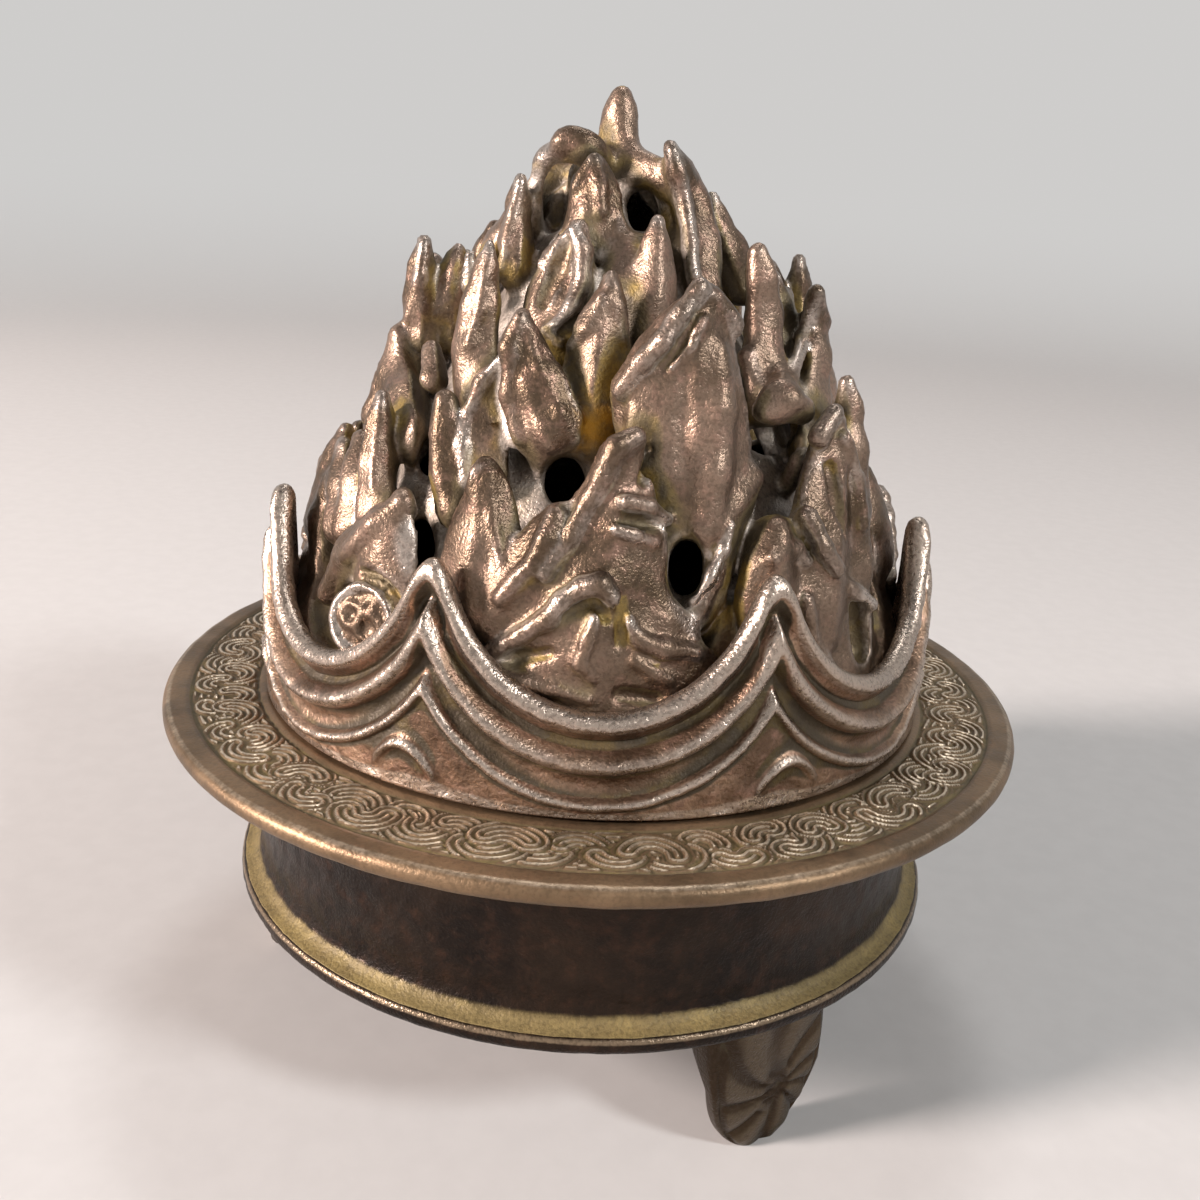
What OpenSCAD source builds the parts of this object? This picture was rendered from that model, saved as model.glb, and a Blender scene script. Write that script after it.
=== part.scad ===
// Bronze hill censer: a three-footed bowl with a wide tray rim, under a lift-off lid
// shaped as a mountain that rises out of a band of waves. Millimetres, Z up,
// Z = 0 at the soles of the feet, the axis of the bowl on Z, the front at -Y.

/* [Feet] */
// Height of a foot, sole to floor plate
foot_h = 20; // [16:0.5:30]
// Width of a foot at its root
foot_w = 18.5; // [13:0.5:20]
// Thickness of a foot at its sole
foot_t = 4; // [3:0.5:5]
// Depth of the root that lies under the floor plate
foot_root = 14; // [12:0.5:16]
// Turn of the first foot from the front
foot_turn = 32; // [0:1:60]
// How far a foot leans in from its root to its sole
foot_lean = 2; // [0:0.5:3]
// Inset of a foot's face from the edge of the lip
foot_inset = 1; // [0.5:0.25:2]
// Thickness of the root at its inner end
root_t = 2; // [1.5:0.25:3]

/* [Rivets] */
// Diameter of a rivet's shank
rivet_d = 4; // [3:0.5:5]
// Diameter of a rivet's head
rivet_head_d = 7; // [6:0.5:8]
// Height of a rivet's head
rivet_head_h = 1.4; // [1:0.1:2]
// Depth of a rivet in the foot
rivet_depth = 4; // [3:0.5:5]
// Metal left below the rivet in the foot
rivet_cover = 1.5; // [1:0.25:2.5]
// Space between a rivet's head and the bowl wall
rivet_edge = 1; // [0.5:0.25:2]

/* [Bowl] */
// Outer diameter of the bowl wall
bowl_d = 95.5; // [90:0.5:105]
// Thickness of the bowl wall
bowl_wall_t = 3.2; // [2.4:0.2:4]
// Height of the bowl wall
bowl_h = 23.2; // [16:0.2:36]
// Thickness of the floor plate
floor_t = 2.2; // [1.6:0.2:4]
// Overhang of the lip past the bowl wall
lip_w = 3; // [2:0.5:5]

/* [Tray] */
// Overhang of the tray rim past the bowl wall
tray_w = 12.25; // [10:0.25:16]
// Thickness of the tray rim
tray_t = 2.6; // [2.2:0.2:4]
// Width of the plain border
border_w = 3.6; // [3:0.2:5]
// Depth of the scroll field below the border
field_depth = 0.4; // [0.2:0.1:0.8]
// Width of the plain ring between the waves and the scroll field
inner_ring_w = 1; // [0.5:0.25:1.5]
// Width of the ledge inside the bowl wall
ledge_w = 3; // [2.5:0.5:4]

/* [Lid] */
// Width of the lid's seat on the ledge and tray
lid_seat_w = 2.45; // [2:0.05:3.5]
// Height at which the mountain's slope would come to a point
slope_h = 74; // [66:1:90]
// Bulge of the slope, 1 for a straight cone
slope_bulge = 1.35; // [1.25:0.05:1.5]
// Thickness of the lid's wall, measured level
lid_wall_t = 3; // [2.4:0.2:3.6]
// Thickness of the lid's crown below the summit
crown_t = 3.6; // [2.8:0.2:4.4]
// Depth of the register ring below the seat
register_h = 4; // [3:0.5:6]
// Thickness of the register ring
register_t = 1.8; // [1.4:0.2:2.4]

/* [Waves] */
// Turn of the middle of a lobe from the front
wave_turn = 1.5; // [-4:0.5:4]
// Number of lobes in the wave band
wave_lobes = 7; // [5:1:8]
// How far the wave band stands out past the slope's foot
wave_proud = 2.5; // [2:0.1:3.5]
// Thickness of the band where it stands free of the slope
wave_t = 4; // [3:0.25:4.5]
// Height of the lowest ridge at the middle of a lobe
wave_low = 2.4; // [2:0.2:3]
// Spacing of the ridges at the middle of a lobe
wave_step = 4.9; // [4:0.1:5.2]
// Rise of the lowest ridge from the middle of a lobe to its ends
wave_rise = 10.5; // [8:0.5:12]
// Extra rise of each ridge above the last
wave_rise_step = 2.4; // [1.5:0.1:2.6]
// Relief of the ridges
ridge_h = 0.7; // [0.4:0.1:0.9]

/* [Peaks] */
// Height of a peak of size 1
peak_h = 10; // [7:0.5:11]
// Width of a peak of size 1
peak_w = 10; // [8:0.25:10.5]
// Diameter of a smoke vent of size 1
vent_d = 5; // [3.5:0.25:5.5]
// Diameter of the summit's foot
summit_d = 8; // [7:0.5:9]
// Height of the summit above its foot
summit_h = 10.6; // [8:0.2:16]
// Diameter of the medallion
medallion_d = 8.5; // [7:0.5:9]
// Thickness of the medallion
medallion_t = 2; // [1.4:0.2:2.6]
// Width of the bevel round the medallion
medallion_bevel = 1; // [0.5:0.25:1.5]

/* [Hidden] */
$fn = 96;

bronze = "#6a5244";
dark_bronze = "#43342a";
worn_bronze = "#8a7462";
olive_bronze = "#7a6c40";

// Clearances, and how far a cut runs past the face that it opens
cut_over = 1;
rivet_clear = 0.05;
register_clear = 0.3;
seat_clear = 0.2;
wave_clear = 0.5;

// Levels and radii that the pieces share
foot_turns = [foot_turn, foot_turn + 120, foot_turn + 240];
bowl_r = bowl_d / 2;
bowl_in_r = bowl_r - bowl_wall_t;
lip_r = bowl_r + lip_w;
floor_z = foot_h + floor_t;
tray_z = floor_z + bowl_h;
tray_r = bowl_r + tray_w;
mouth_r = bowl_in_r - ledge_w;
seat_z = tray_z + tray_t;
slope_r = mouth_r + lid_seat_w;
register_r = mouth_r - register_clear;
register_in_r = register_r - register_t;
foot_r = lip_r - foot_inset;
rivet_r = bowl_in_r - rivet_head_d / 2 - rivet_edge;
tongue_round = 2.4;
tongue_steps = 8;
tongue_grade = 1.6;
sole_share = 0.03;

// Peaks of half the mountain, front half first, the same list then turned half round.
// turn from the front, foot radius as a share of the slope's foot radius, height as a
// share of peak_h, then as shares of peak_w its width, depth, the sideways swing of the
// tip and the outward lean of the tip
low_list = [
    [-76, 0.775, 0.9, 0.65, 0.5, 0, 0.15],
    [-60, 0.68, 1.2, 0.75, 0.5, 0.15, 0.3],
    [-54, 0.78, 0.95, 1, 0.32, 0.6, 0.2],
    [-24, 0.775, 1.35, 0.95, 0.55, 0.15, 0.15],
    [-11, 0.8, 1, 0.45, 0.45, 0.3, 0.2],
    [3, 0.775, 1.8, 1.2, 0.55, 0.2, 0.15],
    [25.5, 0.79, 0.8, 0.3, 0.4, -0.05, 0.15],
    [33, 0.8, 0.9, 0.6, 0.45, 0, 0.15],
    [50, 0.745, 1.65, 1.2, 0.75, 0.05, 0.25],
    [70, 0.74, 2, 0.8, 0.7, -0.25, 0.1]];
middle_list = [
    [-73, 0.61, 1.15, 0.95, 0.65, -0.2, 0.15],
    [-37, 0.665, 1.1, 0.55, 0.55, 0, 0.15],
    [-30, 0.575, 0.9, 0.6, 0.55, 0.05, 0.2],
    [-13, 0.54, 1.2, 1, 0.65, -0.4, 0.4],
    [21, 0.64, 2.3, 1.5, 0.7, -0.1, 0.25],
    [45, 0.6, 0.85, 0.7, 0.6, -0.1, 0.35]];
high_list = [
    [-77, 0.46, 1.35, 0.75, 0.65, -0.1, 0.45],
    [-47, 0.45, 1.35, 0.75, 0.65, 0.05, 0.15],
    [-20, 0.39, 1.2, 0.85, 0.55, 0.1, -0.1],
    [2, 0.46, 1.1, 0.65, 0.55, -0.05, 0.2],
    [16, 0.38, 1.25, 0.6, 0.55, 0.05, -0.05],
    [39, 0.42, 0.8, 0.6, 0.55, 0, 0.15],
    [57, 0.45, 1.4, 0.75, 0.65, -0.1, 0.15],
    [78, 0.55, 1.6, 0.65, 0.6, -0.2, 0.3]];
top_list = [
    [-84, 0.175, 0.85, 0.6, 0.45, 0.1, 0],
    [-62, 0.295, 1.1, 0.55, 0.5, -0.1, 0.05],
    [-15, 0.2, 0.85, 0.75, 0.5, -0.05, 0.1],
    [46, 0.25, 1.35, 0.75, 0.6, -0.2, -0.1]];
// Smoke vents of the same half: turn, radius as a share, diameter as a share of vent_d
vent_list = [
    [-49, 0.66, 0.8],
    [-41, 0.78, 1],
    [-45, 0.21, 0.6],
    [-8, 0.65, 1.04],
    [16, 0.21, 0.7],
    [18, 0.757, 1],
    [60, 0.56, 1]];
medallion_turn = -43;
medallion_share = 0.85;
foothill = [0, 0.885, 1, 1.3, 0.36, 0, 0];
foothill_turns = [for (k = [0:wave_lobes - 2]) wave_turn + k * 360 / wave_lobes];

// Slope of the mountain: radius at a height above the seat, and height at a radius
function slope_at(z) = slope_r * (1 - pow(max(z, 0) / slope_h, slope_bulge));
function slope_z(r) = slope_h * pow(1 - min(r / slope_r, 1), 1 / slope_bulge);
function slope_tilt(z) = atan(slope_r * slope_bulge / slope_h * pow(z / slope_h, slope_bulge - 1));

summit_z = slope_z(summit_d / 2);
hollow_z = summit_z - crown_t;

// Loft of a peak: rings of sides points that rise from the slope and close at the tip
sides = 8;
peak_levels = [0, 0.28, 0.55, 0.78, 0.93];
taper_round = 0.7;
ridge_share = 0.84;
foot_ring = 0.5;
function taper(t) = taper_round * sqrt(1 - t) + (1 - taper_round) * (1 - t);
function ridged(i) = i % 2 == 0 ? 1 : ridge_share;
function peak_spot(p, t, i, f) =
    let (a = i * 360 / sides, half = peak_w / 2 * f * ridged(i))
    [p[5] * peak_w * t + p[3] * half * cos(a),
     -(p[1] * slope_r + p[6] * peak_w * t + p[4] * half * sin(a))];
function foot_z(s) = slope_z(norm(s)) + seat_clear;
function peak_point(p, t, i) =
    let (s = peak_spot(p, t, i, taper(t)),
         base = foot_z(peak_spot(p, 0, i, 1)),
         middle = foot_z([0, -p[1] * slope_r]))
    [s[0], s[1], middle + p[2] * peak_h * t + (base - middle) * (1 - t) * (1 - t)];
function foot_point(p, i) =
    let (s = peak_spot(p, 0, i, foot_ring))
    [s[0], s[1], foot_z(s)];

module peak(p) {
    n = len(peak_levels);
    mid = [0, -p[1] * slope_r];
    points = concat(
        [for (t = peak_levels, i = [0:sides - 1]) peak_point(p, t, i)],
        [for (i = [0:sides - 1]) foot_point(p, i)],
        [[p[5] * peak_w, mid[1] - p[6] * peak_w, foot_z(mid) + p[2] * peak_h]],
        [[mid[0], mid[1], foot_z(mid)]]);
    tip = (n + 1) * sides;
    faces = concat(
        [for (k = [0:n - 2], i = [0:sides - 1])
            let (j = (i + 1) % sides)
            each [[k * sides + i, k * sides + j, (k + 1) * sides + i],
                  [k * sides + j, (k + 1) * sides + j, (k + 1) * sides + i]]],
        [for (i = [0:sides - 1]) [(n - 1) * sides + i, (n - 1) * sides + (i + 1) % sides, tip]],
        [for (i = [0:sides - 1])
            let (j = (i + 1) % sides)
            each [[i, n * sides + i, j], [j, n * sides + i, n * sides + j]]],
        [for (i = [0:sides - 1]) [n * sides + i, tip + 1, n * sides + (i + 1) % sides]]);
    translate([0, 0, seat_z]) rotate([0, 0, p[0]]) polyhedron(points, faces);
}

module both_halves() {
    for (half = [0, 180]) rotate([0, 0, half]) children();
}

module peaks(list) {
    both_halves() for (p = list) peak(p);
}

// Bowl
module floor_plate() {
    edge = floor_t / 2;
    color(olive_bronze) difference() {
        translate([0, 0, foot_h]) rotate_extrude() union() {
            square([lip_r - edge, floor_t]);
            intersection() {
                translate([lip_r - edge, edge]) circle(edge);
                translate([lip_r - edge, 0]) square(floor_t);
            }
        }
        for (turn = foot_turns) at_rivet(turn) cylinder(h = floor_z, d = rivet_d + 2 * rivet_clear);
    }
}

module bowl_wall() {
    color(dark_bronze) translate([0, 0, floor_z]) difference() {
        cylinder(h = bowl_h, r = bowl_r);
        translate([0, 0, -cut_over]) cylinder(h = bowl_h + 2 * cut_over, r = bowl_in_r);
    }
}

module tray_rim() {
    edge = tray_t / 2;
    field_r = tray_r - border_w;
    field_in_r = slope_r + wave_proud + inner_ring_w;
    color(olive_bronze) translate([0, 0, tray_z]) rotate_extrude() difference() {
        union() {
            translate([mouth_r, 0]) square([tray_r - edge - mouth_r, tray_t]);
            translate([tray_r - edge, edge]) circle(edge);
        }
        translate([field_in_r, tray_t - field_depth]) square([field_r - field_in_r, tray_t]);
    }
}

// Feet
module at_rivet(turn) {
    rotate([0, 0, turn]) translate([0, -rivet_r, 0]) children();
}

// Tongue outline: half width follows a rounded curve up from the flat sole
function tongue_w(u) = foot_w / 2 * pow(1 - pow(1 - u, tongue_round), 1 / tongue_round);

module foot_front_outline() {
    heights = [for (k = [0:tongue_steps])
        sole_share + (1 - sole_share) * pow(k / tongue_steps, tongue_grade)];
    right = [for (u = heights) [tongue_w(u), (u - sole_share) / (1 - sole_share) * foot_h]];
    left = [for (k = [tongue_steps:-1:0]) [-right[k][0], right[k][1]]];
    polygon(concat(right, left));
}

module foot_side_outline() {
    root_r = foot_r - foot_root;
    waist_r = foot_r - foot_t - foot_inset;
    sole_r = foot_r - foot_lean - foot_t;
    polygon([[foot_r, foot_h], [foot_r, 0], [sole_r, 0], [waist_r, foot_h / 2],
             [rivet_r - rivet_d, foot_h - rivet_depth - rivet_cover],
             [root_r, foot_h - root_t], [root_r, foot_h]]);
}

module foot(turn) {
    color(bronze) difference() {
        rotate([0, 0, turn]) intersection() {
            rotate([90, 0, 0]) linear_extrude(height = 2 * foot_r) foot_front_outline();
            rotate([90, 0, -90]) translate([0, 0, -foot_w]) linear_extrude(height = 2 * foot_w)
                foot_side_outline();
            cylinder(h = foot_h, r1 = foot_r - foot_lean, r2 = foot_r);
        }
        at_rivet(turn) translate([0, 0, foot_h - rivet_depth])
            cylinder(h = foot_h, d = rivet_d + 2 * rivet_clear);
    }
}

module foot_right() { foot(foot_turns[0]); }
module foot_rear() { foot(foot_turns[1]); }
module foot_left() { foot(foot_turns[2]); }

module foot_rivets() {
    shank_h = rivet_depth + floor_t - 2 * rivet_clear;
    color(worn_bronze) for (turn = foot_turns) at_rivet(turn) translate([0, 0, floor_z - shank_h]) union() {
        cylinder(h = shank_h, d = rivet_d);
        translate([0, 0, shank_h])
            cylinder(h = rivet_head_h, d1 = rivet_head_d, d2 = rivet_head_d - 2 * rivet_head_h);
    }
}

// Lid
module lid_shell() {
    steps = 9;
    straight_z = slope_z(register_in_r + lid_wall_t);
    outer = [for (k = [0:steps]) let (z = summit_z * k / steps) [slope_at(z), z]];
    inner = [for (k = [steps:-1:0])
        let (z = straight_z + (hollow_z - straight_z) * k / steps) [slope_at(z) - lid_wall_t, z]];
    color(bronze) translate([0, 0, seat_z]) difference() {
        rotate_extrude() polygon(concat(outer, [[0, summit_z], [0, hollow_z]], inner, [[register_in_r, 0]]));
        both_halves() for (v = vent_list) vent(v);
    }
}

module vent(v) {
    r = v[1] * slope_r;
    z = slope_z(r);
    rotate([0, 0, v[0]]) translate([0, -r, z]) rotate([90 - slope_tilt(z), 0, 0])
        cylinder(h = 4 * lid_wall_t, d = v[2] * vent_d, center = true);
}

module lid_register() {
    color(bronze) translate([0, 0, seat_z - register_h]) difference() {
        cylinder(h = register_h, r = register_r);
        translate([0, 0, -cut_over]) cylinder(h = register_h + 2 * cut_over, r = register_in_r);
    }
}

// Wave band: a closed profile carried round the slope, its ridges rising to a crest between lobes
wave_columns = 16;
wave_lean = 0.08;
wave_r = slope_r + wave_proud;
half_lobe = PI * wave_r / wave_lobes;
function ridge_z(k, x) =
    let (rise = wave_rise + k * wave_rise_step,
         arc = (half_lobe * half_lobe + rise * rise) / (2 * rise))
    wave_low + k * wave_step + arc - sqrt(arc * arc - x * x * half_lobe * half_lobe);
function band_r(z) = wave_r - wave_lean * z;
function back_r(z) = max(slope_at(z) + seat_clear, band_r(z) - wave_t);
function band_profile(x) =
    let (a = ridge_z(0, x), b = ridge_z(1, x), c = ridge_z(2, x), meet = slope_z(wave_r - wave_t))
    [[band_r(0), wave_clear],
     [band_r(a), a - 2 * ridge_h],
     [band_r(a) + ridge_h, a],
     [band_r(a) - ridge_h, (2 * a + b) / 3],
     [band_r(b) - ridge_h / 2, (a + 3 * b) / 4],
     [band_r(b) + ridge_h, b],
     [band_r(b) - ridge_h, (2 * b + c) / 3],
     [band_r(c) - ridge_h / 2, (b + 3 * c) / 4],
     [band_r(c) + ridge_h, c],
     [band_r(c) - wave_t / 2, c + ridge_h],
     [back_r(c), c - ridge_h],
     [back_r(meet), meet],
     [slope_at(wave_clear) + seat_clear, wave_clear]];

module wave_band() {
    columns = wave_lobes * wave_columns;
    rows = len(band_profile(0));
    points = [for (k = [0:columns - 1])
        let (turn = 360 * k / columns, x = 2 * (k % wave_columns) / wave_columns - 1)
        each [for (q = band_profile(x)) [q[0] * cos(turn), q[0] * sin(turn), q[1]]]];
    faces = [for (k = [0:columns - 1], i = [0:rows - 1])
        let (m = (k + 1) % columns, j = (i + 1) % rows)
        each [[k * rows + i, k * rows + j, m * rows + i], [m * rows + i, k * rows + j, m * rows + j]]];
    color(bronze) translate([0, 0, seat_z]) rotate([0, 0, wave_turn - 90 - 180 / wave_lobes])
        polyhedron(points, faces);
}

module medallion() {
    r = medallion_share * slope_r;
    z = slope_z(r);
    color(worn_bronze) translate([0, 0, seat_z]) rotate([0, 0, medallion_turn])
        translate([0, -r, z]) rotate([90 - slope_tilt(z), 0, 0]) translate([0, 0, seat_clear])
        rotate_extrude() polygon([[0, 0], [medallion_d / 2, 0], [medallion_d / 2, medallion_t / 2],
                                  [medallion_d / 2 - medallion_bevel, medallion_t], [0, medallion_t]]);
}

module foothills() {
    color(bronze) for (turn = foothill_turns) rotate([0, 0, turn]) peak(foothill);
}

module low_peaks() { color(bronze) peaks(low_list); }
module middle_peaks() { color(bronze) peaks(middle_list); }
module high_peaks() { color(worn_bronze) peaks(high_list); }
module top_peaks() { color(worn_bronze) peaks(top_list); }

module summit_peak() {
    levels = [0, 0.3, 0.6, 0.82, 0.94];
    color(worn_bronze) translate([0, 0, seat_z + summit_z]) rotate_extrude()
        polygon(concat([[0, 0]], [for (t = levels) [summit_d / 2 * taper(t), summit_h * t]],
                       [[0, summit_h]]));
}

floor_plate();
bowl_wall();
tray_rim();
foot_right();
foot_rear();
foot_left();
foot_rivets();
lid_shell();
lid_register();
wave_band();
medallion();
foothills();
low_peaks();
middle_peaks();
high_peaks();
top_peaks();
summit_peak();
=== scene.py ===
import math
import bmesh
import bpy
import numpy as np
from mathutils import Matrix, Vector


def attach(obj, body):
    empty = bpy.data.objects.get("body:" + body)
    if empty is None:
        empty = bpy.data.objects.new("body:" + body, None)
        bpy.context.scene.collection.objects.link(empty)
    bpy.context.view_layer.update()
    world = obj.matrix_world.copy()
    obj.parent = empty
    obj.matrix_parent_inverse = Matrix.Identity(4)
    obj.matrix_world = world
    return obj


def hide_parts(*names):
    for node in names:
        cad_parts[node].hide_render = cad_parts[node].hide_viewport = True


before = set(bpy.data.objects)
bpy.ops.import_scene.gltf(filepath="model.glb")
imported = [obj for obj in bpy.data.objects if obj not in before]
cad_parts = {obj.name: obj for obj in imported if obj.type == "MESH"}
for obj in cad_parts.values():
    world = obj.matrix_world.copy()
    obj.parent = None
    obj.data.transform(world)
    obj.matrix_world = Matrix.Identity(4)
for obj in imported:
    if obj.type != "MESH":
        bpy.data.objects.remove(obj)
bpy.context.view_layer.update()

print("frame loaded:", len(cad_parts), "nodes")

# Shapes are worked out in millimetres from the axis of the bowl, and go into the meshes in metres.
# A turn is in degrees from the front (-Y) towards +X.
mm = 0.001
seat = 48.0              # height of the tray's top, where the lid sits


def smoothStep(x, low, high):
    # 0 below low, 1 above high, an S curve between
    t = np.clip((x - low) / (high - low), 0, 1)
    return t * t * (3 - 2 * t)


def softLeast(a, b, k):
    # the lesser of two distances, with a fillet of about k where they are near each other
    h = np.maximum(k - np.abs(a - b), 0) / k
    return np.minimum(a, b) - h * h * k / 4


def unit(v):
    return v / np.linalg.norm(v)


def roundAxis(r, turns, z):
    # points at a radius and a height, carried round the axis to each turn in radians
    return np.stack([r * np.sin(turns), -r * np.cos(turns), z + 0 * turns], -1)


def ripple(points, wave, seed, count=22):
    # even, never-repeating unevenness: the sum of count cosines of about that wavelength in seeded directions
    rng = np.random.default_rng(seed)
    way = rng.normal(size=(count, points.shape[-1]))
    way /= np.linalg.norm(way, axis=1)[:, None]
    way *= (2 * math.pi / wave * rng.uniform(0.6, 1.5, count))[:, None]
    start = rng.uniform(0, 2 * math.pi, count)
    total = np.zeros(points.shape[:-1])
    for k, p in zip(way, start):
        total += np.cos(points @ k + p)
    return total / math.sqrt(count / 2)


def gridQuads(nu, nv, roundU=False, roundV=False):
    # four neighbours of a grid make a face; a round direction joins its last row to its first
    i, j = np.meshgrid(np.arange(nu if roundU else nu - 1), np.arange(nv if roundV else nv - 1), indexing="ij")
    a, b = (i + 1) % nu, (j + 1) % nv
    return np.stack([i * nv + j, a * nv + j, a * nv + b, i * nv + b], -1).reshape(-1, 4)


def gridMarks(grid, span, gain):
    # how far each point lies under (hollow) or over (ridge) the mean of its neighbours within span steps;
    # both directions of the grid are round
    across = np.roll(grid, -1, 0) - np.roll(grid, 1, 0)
    along = np.roll(grid, -1, 1) - np.roll(grid, 1, 1)
    normal = np.cross(across, along)
    normal /= np.maximum(np.linalg.norm(normal, axis=2), 1e-9)[..., None]
    mean = sum(np.roll(grid, k, axis) for k in range(-span, span + 1) for axis in (0, 1)) / (4 * span + 2)
    under = np.einsum("ijk,ijk->ij", mean - grid, normal) * gain
    corner = grid.reshape(-1, 3)[gridQuads(*grid.shape[:2], True, True)]
    if np.einsum("ij,ij->i", corner[:, 0], np.cross(corner[:, 1], corner[:, 2])).sum() < 0:
        under = -under
    return {"hollow": np.clip(under, 0, 1), "ridge": np.clip(-under, 0, 1)}


def closePoles(mesh):
    # rings shrunk to a point on an axis become one point
    work = bmesh.new()
    work.from_mesh(mesh)
    bmesh.ops.remove_doubles(work, verts=work.verts, dist=1e-8)
    work.to_mesh(mesh)
    work.free()


def placed(name, points, quads, body, nodes, slot, finish, marks=None, poles=False):
    # points in mm and quads become a piece that rides on a body and stands for CAD nodes;
    # the faces are turned outwards by the sign of the volume they close
    corner = points[quads]
    volume = np.einsum("ij,ij->i", corner[:, 0], np.cross(corner[:, 1], corner[:, 2])).sum()
    volume += np.einsum("ij,ij->i", corner[:, 0], np.cross(corner[:, 2], corner[:, 3])).sum()
    if volume < 0:
        quads = quads[:, ::-1]
    mesh = bpy.data.meshes.new(name)
    mesh.vertices.add(len(points))
    mesh.vertices.foreach_set("co", (points * mm).astype(np.float32).ravel())
    mesh.loops.add(quads.size)
    mesh.loops.foreach_set("vertex_index", quads.astype(np.int32).ravel())
    mesh.polygons.add(len(quads))
    mesh.polygons.foreach_set("loop_start", np.arange(0, quads.size, 4, dtype=np.int32))
    mesh.polygons.foreach_set("use_smooth", np.ones(len(quads), dtype=bool))
    for mark, values in (marks or {}).items():
        mesh.attributes.new(mark, "FLOAT", "POINT").data.foreach_set("value", values.astype(np.float32).ravel())
    mesh.update(calc_edges=True)
    if poles:
        closePoles(mesh)
    mesh.validate()
    piece = bpy.data.objects.new(name, mesh)
    bpy.context.scene.collection.objects.link(piece)
    mesh.materials.append(finish)
    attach(piece, body)
    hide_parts(*nodes)
    print("piece", name, len(points), "points", len(quads), "faces")
    return piece


def placedGrid(name, grid, rounds, *rest, **more):
    # a piece from a grid of points; rounds says which directions of the grid are round
    return placed(name, grid.reshape(-1, 3), gridQuads(*grid.shape[:2], *rounds), *rest, **more)


class Wire:
    # an output socket, or the colour or number it carries; arithmetic on it adds Math nodes
    def __init__(self, paint, socket):
        self.paint, self.socket = paint, socket

    def sum(self, kind, first, second):
        return self.paint.node("ShaderNodeMath", {"operation": kind}, {0: first, 1: second})

    def __add__(self, other):
        return self.sum("ADD", self, other)

    def __radd__(self, other):
        return self.sum("ADD", other, self)

    def __sub__(self, other):
        return self.sum("SUBTRACT", self, other)

    def __rsub__(self, other):
        return self.sum("SUBTRACT", other, self)

    def __mul__(self, other):
        return self.sum("MULTIPLY", self, other)

    def __rmul__(self, other):
        return self.sum("MULTIPLY", other, self)


class Paint:
    # one material and the nodes that make it
    def __init__(self, name):
        self.material = bpy.data.materials.new(name)
        self.material.use_nodes = True
        self.tree = self.material.node_tree
        self.tree.nodes.clear()

    def node(self, kind, settings, inputs, output=0):
        made = self.tree.nodes.new(kind)
        for key, value in settings.items():
            setattr(made, key, value)
        for key, value in inputs.items():
            if isinstance(value, Wire):
                self.tree.links.new(value.socket, made.inputs[key])
            else:
                made.inputs[key].default_value = value
        return Wire(self, made.outputs[output]) if made.outputs else made

    def place(self):
        return self.node("ShaderNodeTexCoord", {}, {}, "Object")

    def mark(self, name):
        return self.node("ShaderNodeAttribute", {"attribute_name": name}, {}, "Fac")

    def grain(self, place, size, detail=3.0, rough=0.55):
        # noise whose lumps are about size mm
        return self.node("ShaderNodeTexNoise", {},
                         {"Vector": place, "Scale": 1000 / size, "Detail": detail, "Roughness": rough})

    def between(self, value, low, high):
        # 0 below low and 1 above high
        return self.node("ShaderNodeMapRange", {"interpolation_type": "SMOOTHSTEP"},
                         {"Value": value, "From Min": low, "From Max": high})

    def mix(self, share, first, second):
        colours = [v if isinstance(v, Wire) else (*v, 1.0) for v in (first, second)]
        return self.node("ShaderNodeMix", {"data_type": "RGBA"}, {0: share, 6: colours[0], 7: colours[1]}, 2)

    def bump(self, height, depth, below=None):
        # height is 0 to 1, depth in mm
        inputs = {"Height": height, "Distance": depth * mm, "Strength": 1.0}
        if below:
            inputs["Normal"] = below
        return self.node("ShaderNodeBump", {}, inputs)

    def finish(self, inputs):
        shader = self.node("ShaderNodeBsdfPrincipled", {}, inputs)
        self.node("ShaderNodeOutputMaterial", {}, {"Surface": shader})
        return self.material


# Patina: sizes of its lumps, and the heights between which the lower part gets darker
patina = {"cloud": 14, "drift": 8, "fleck": 2.2, "pebble": 0.45, "fine": 0.25, "lowFrom": 86, "lowTo": 62}


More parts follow.
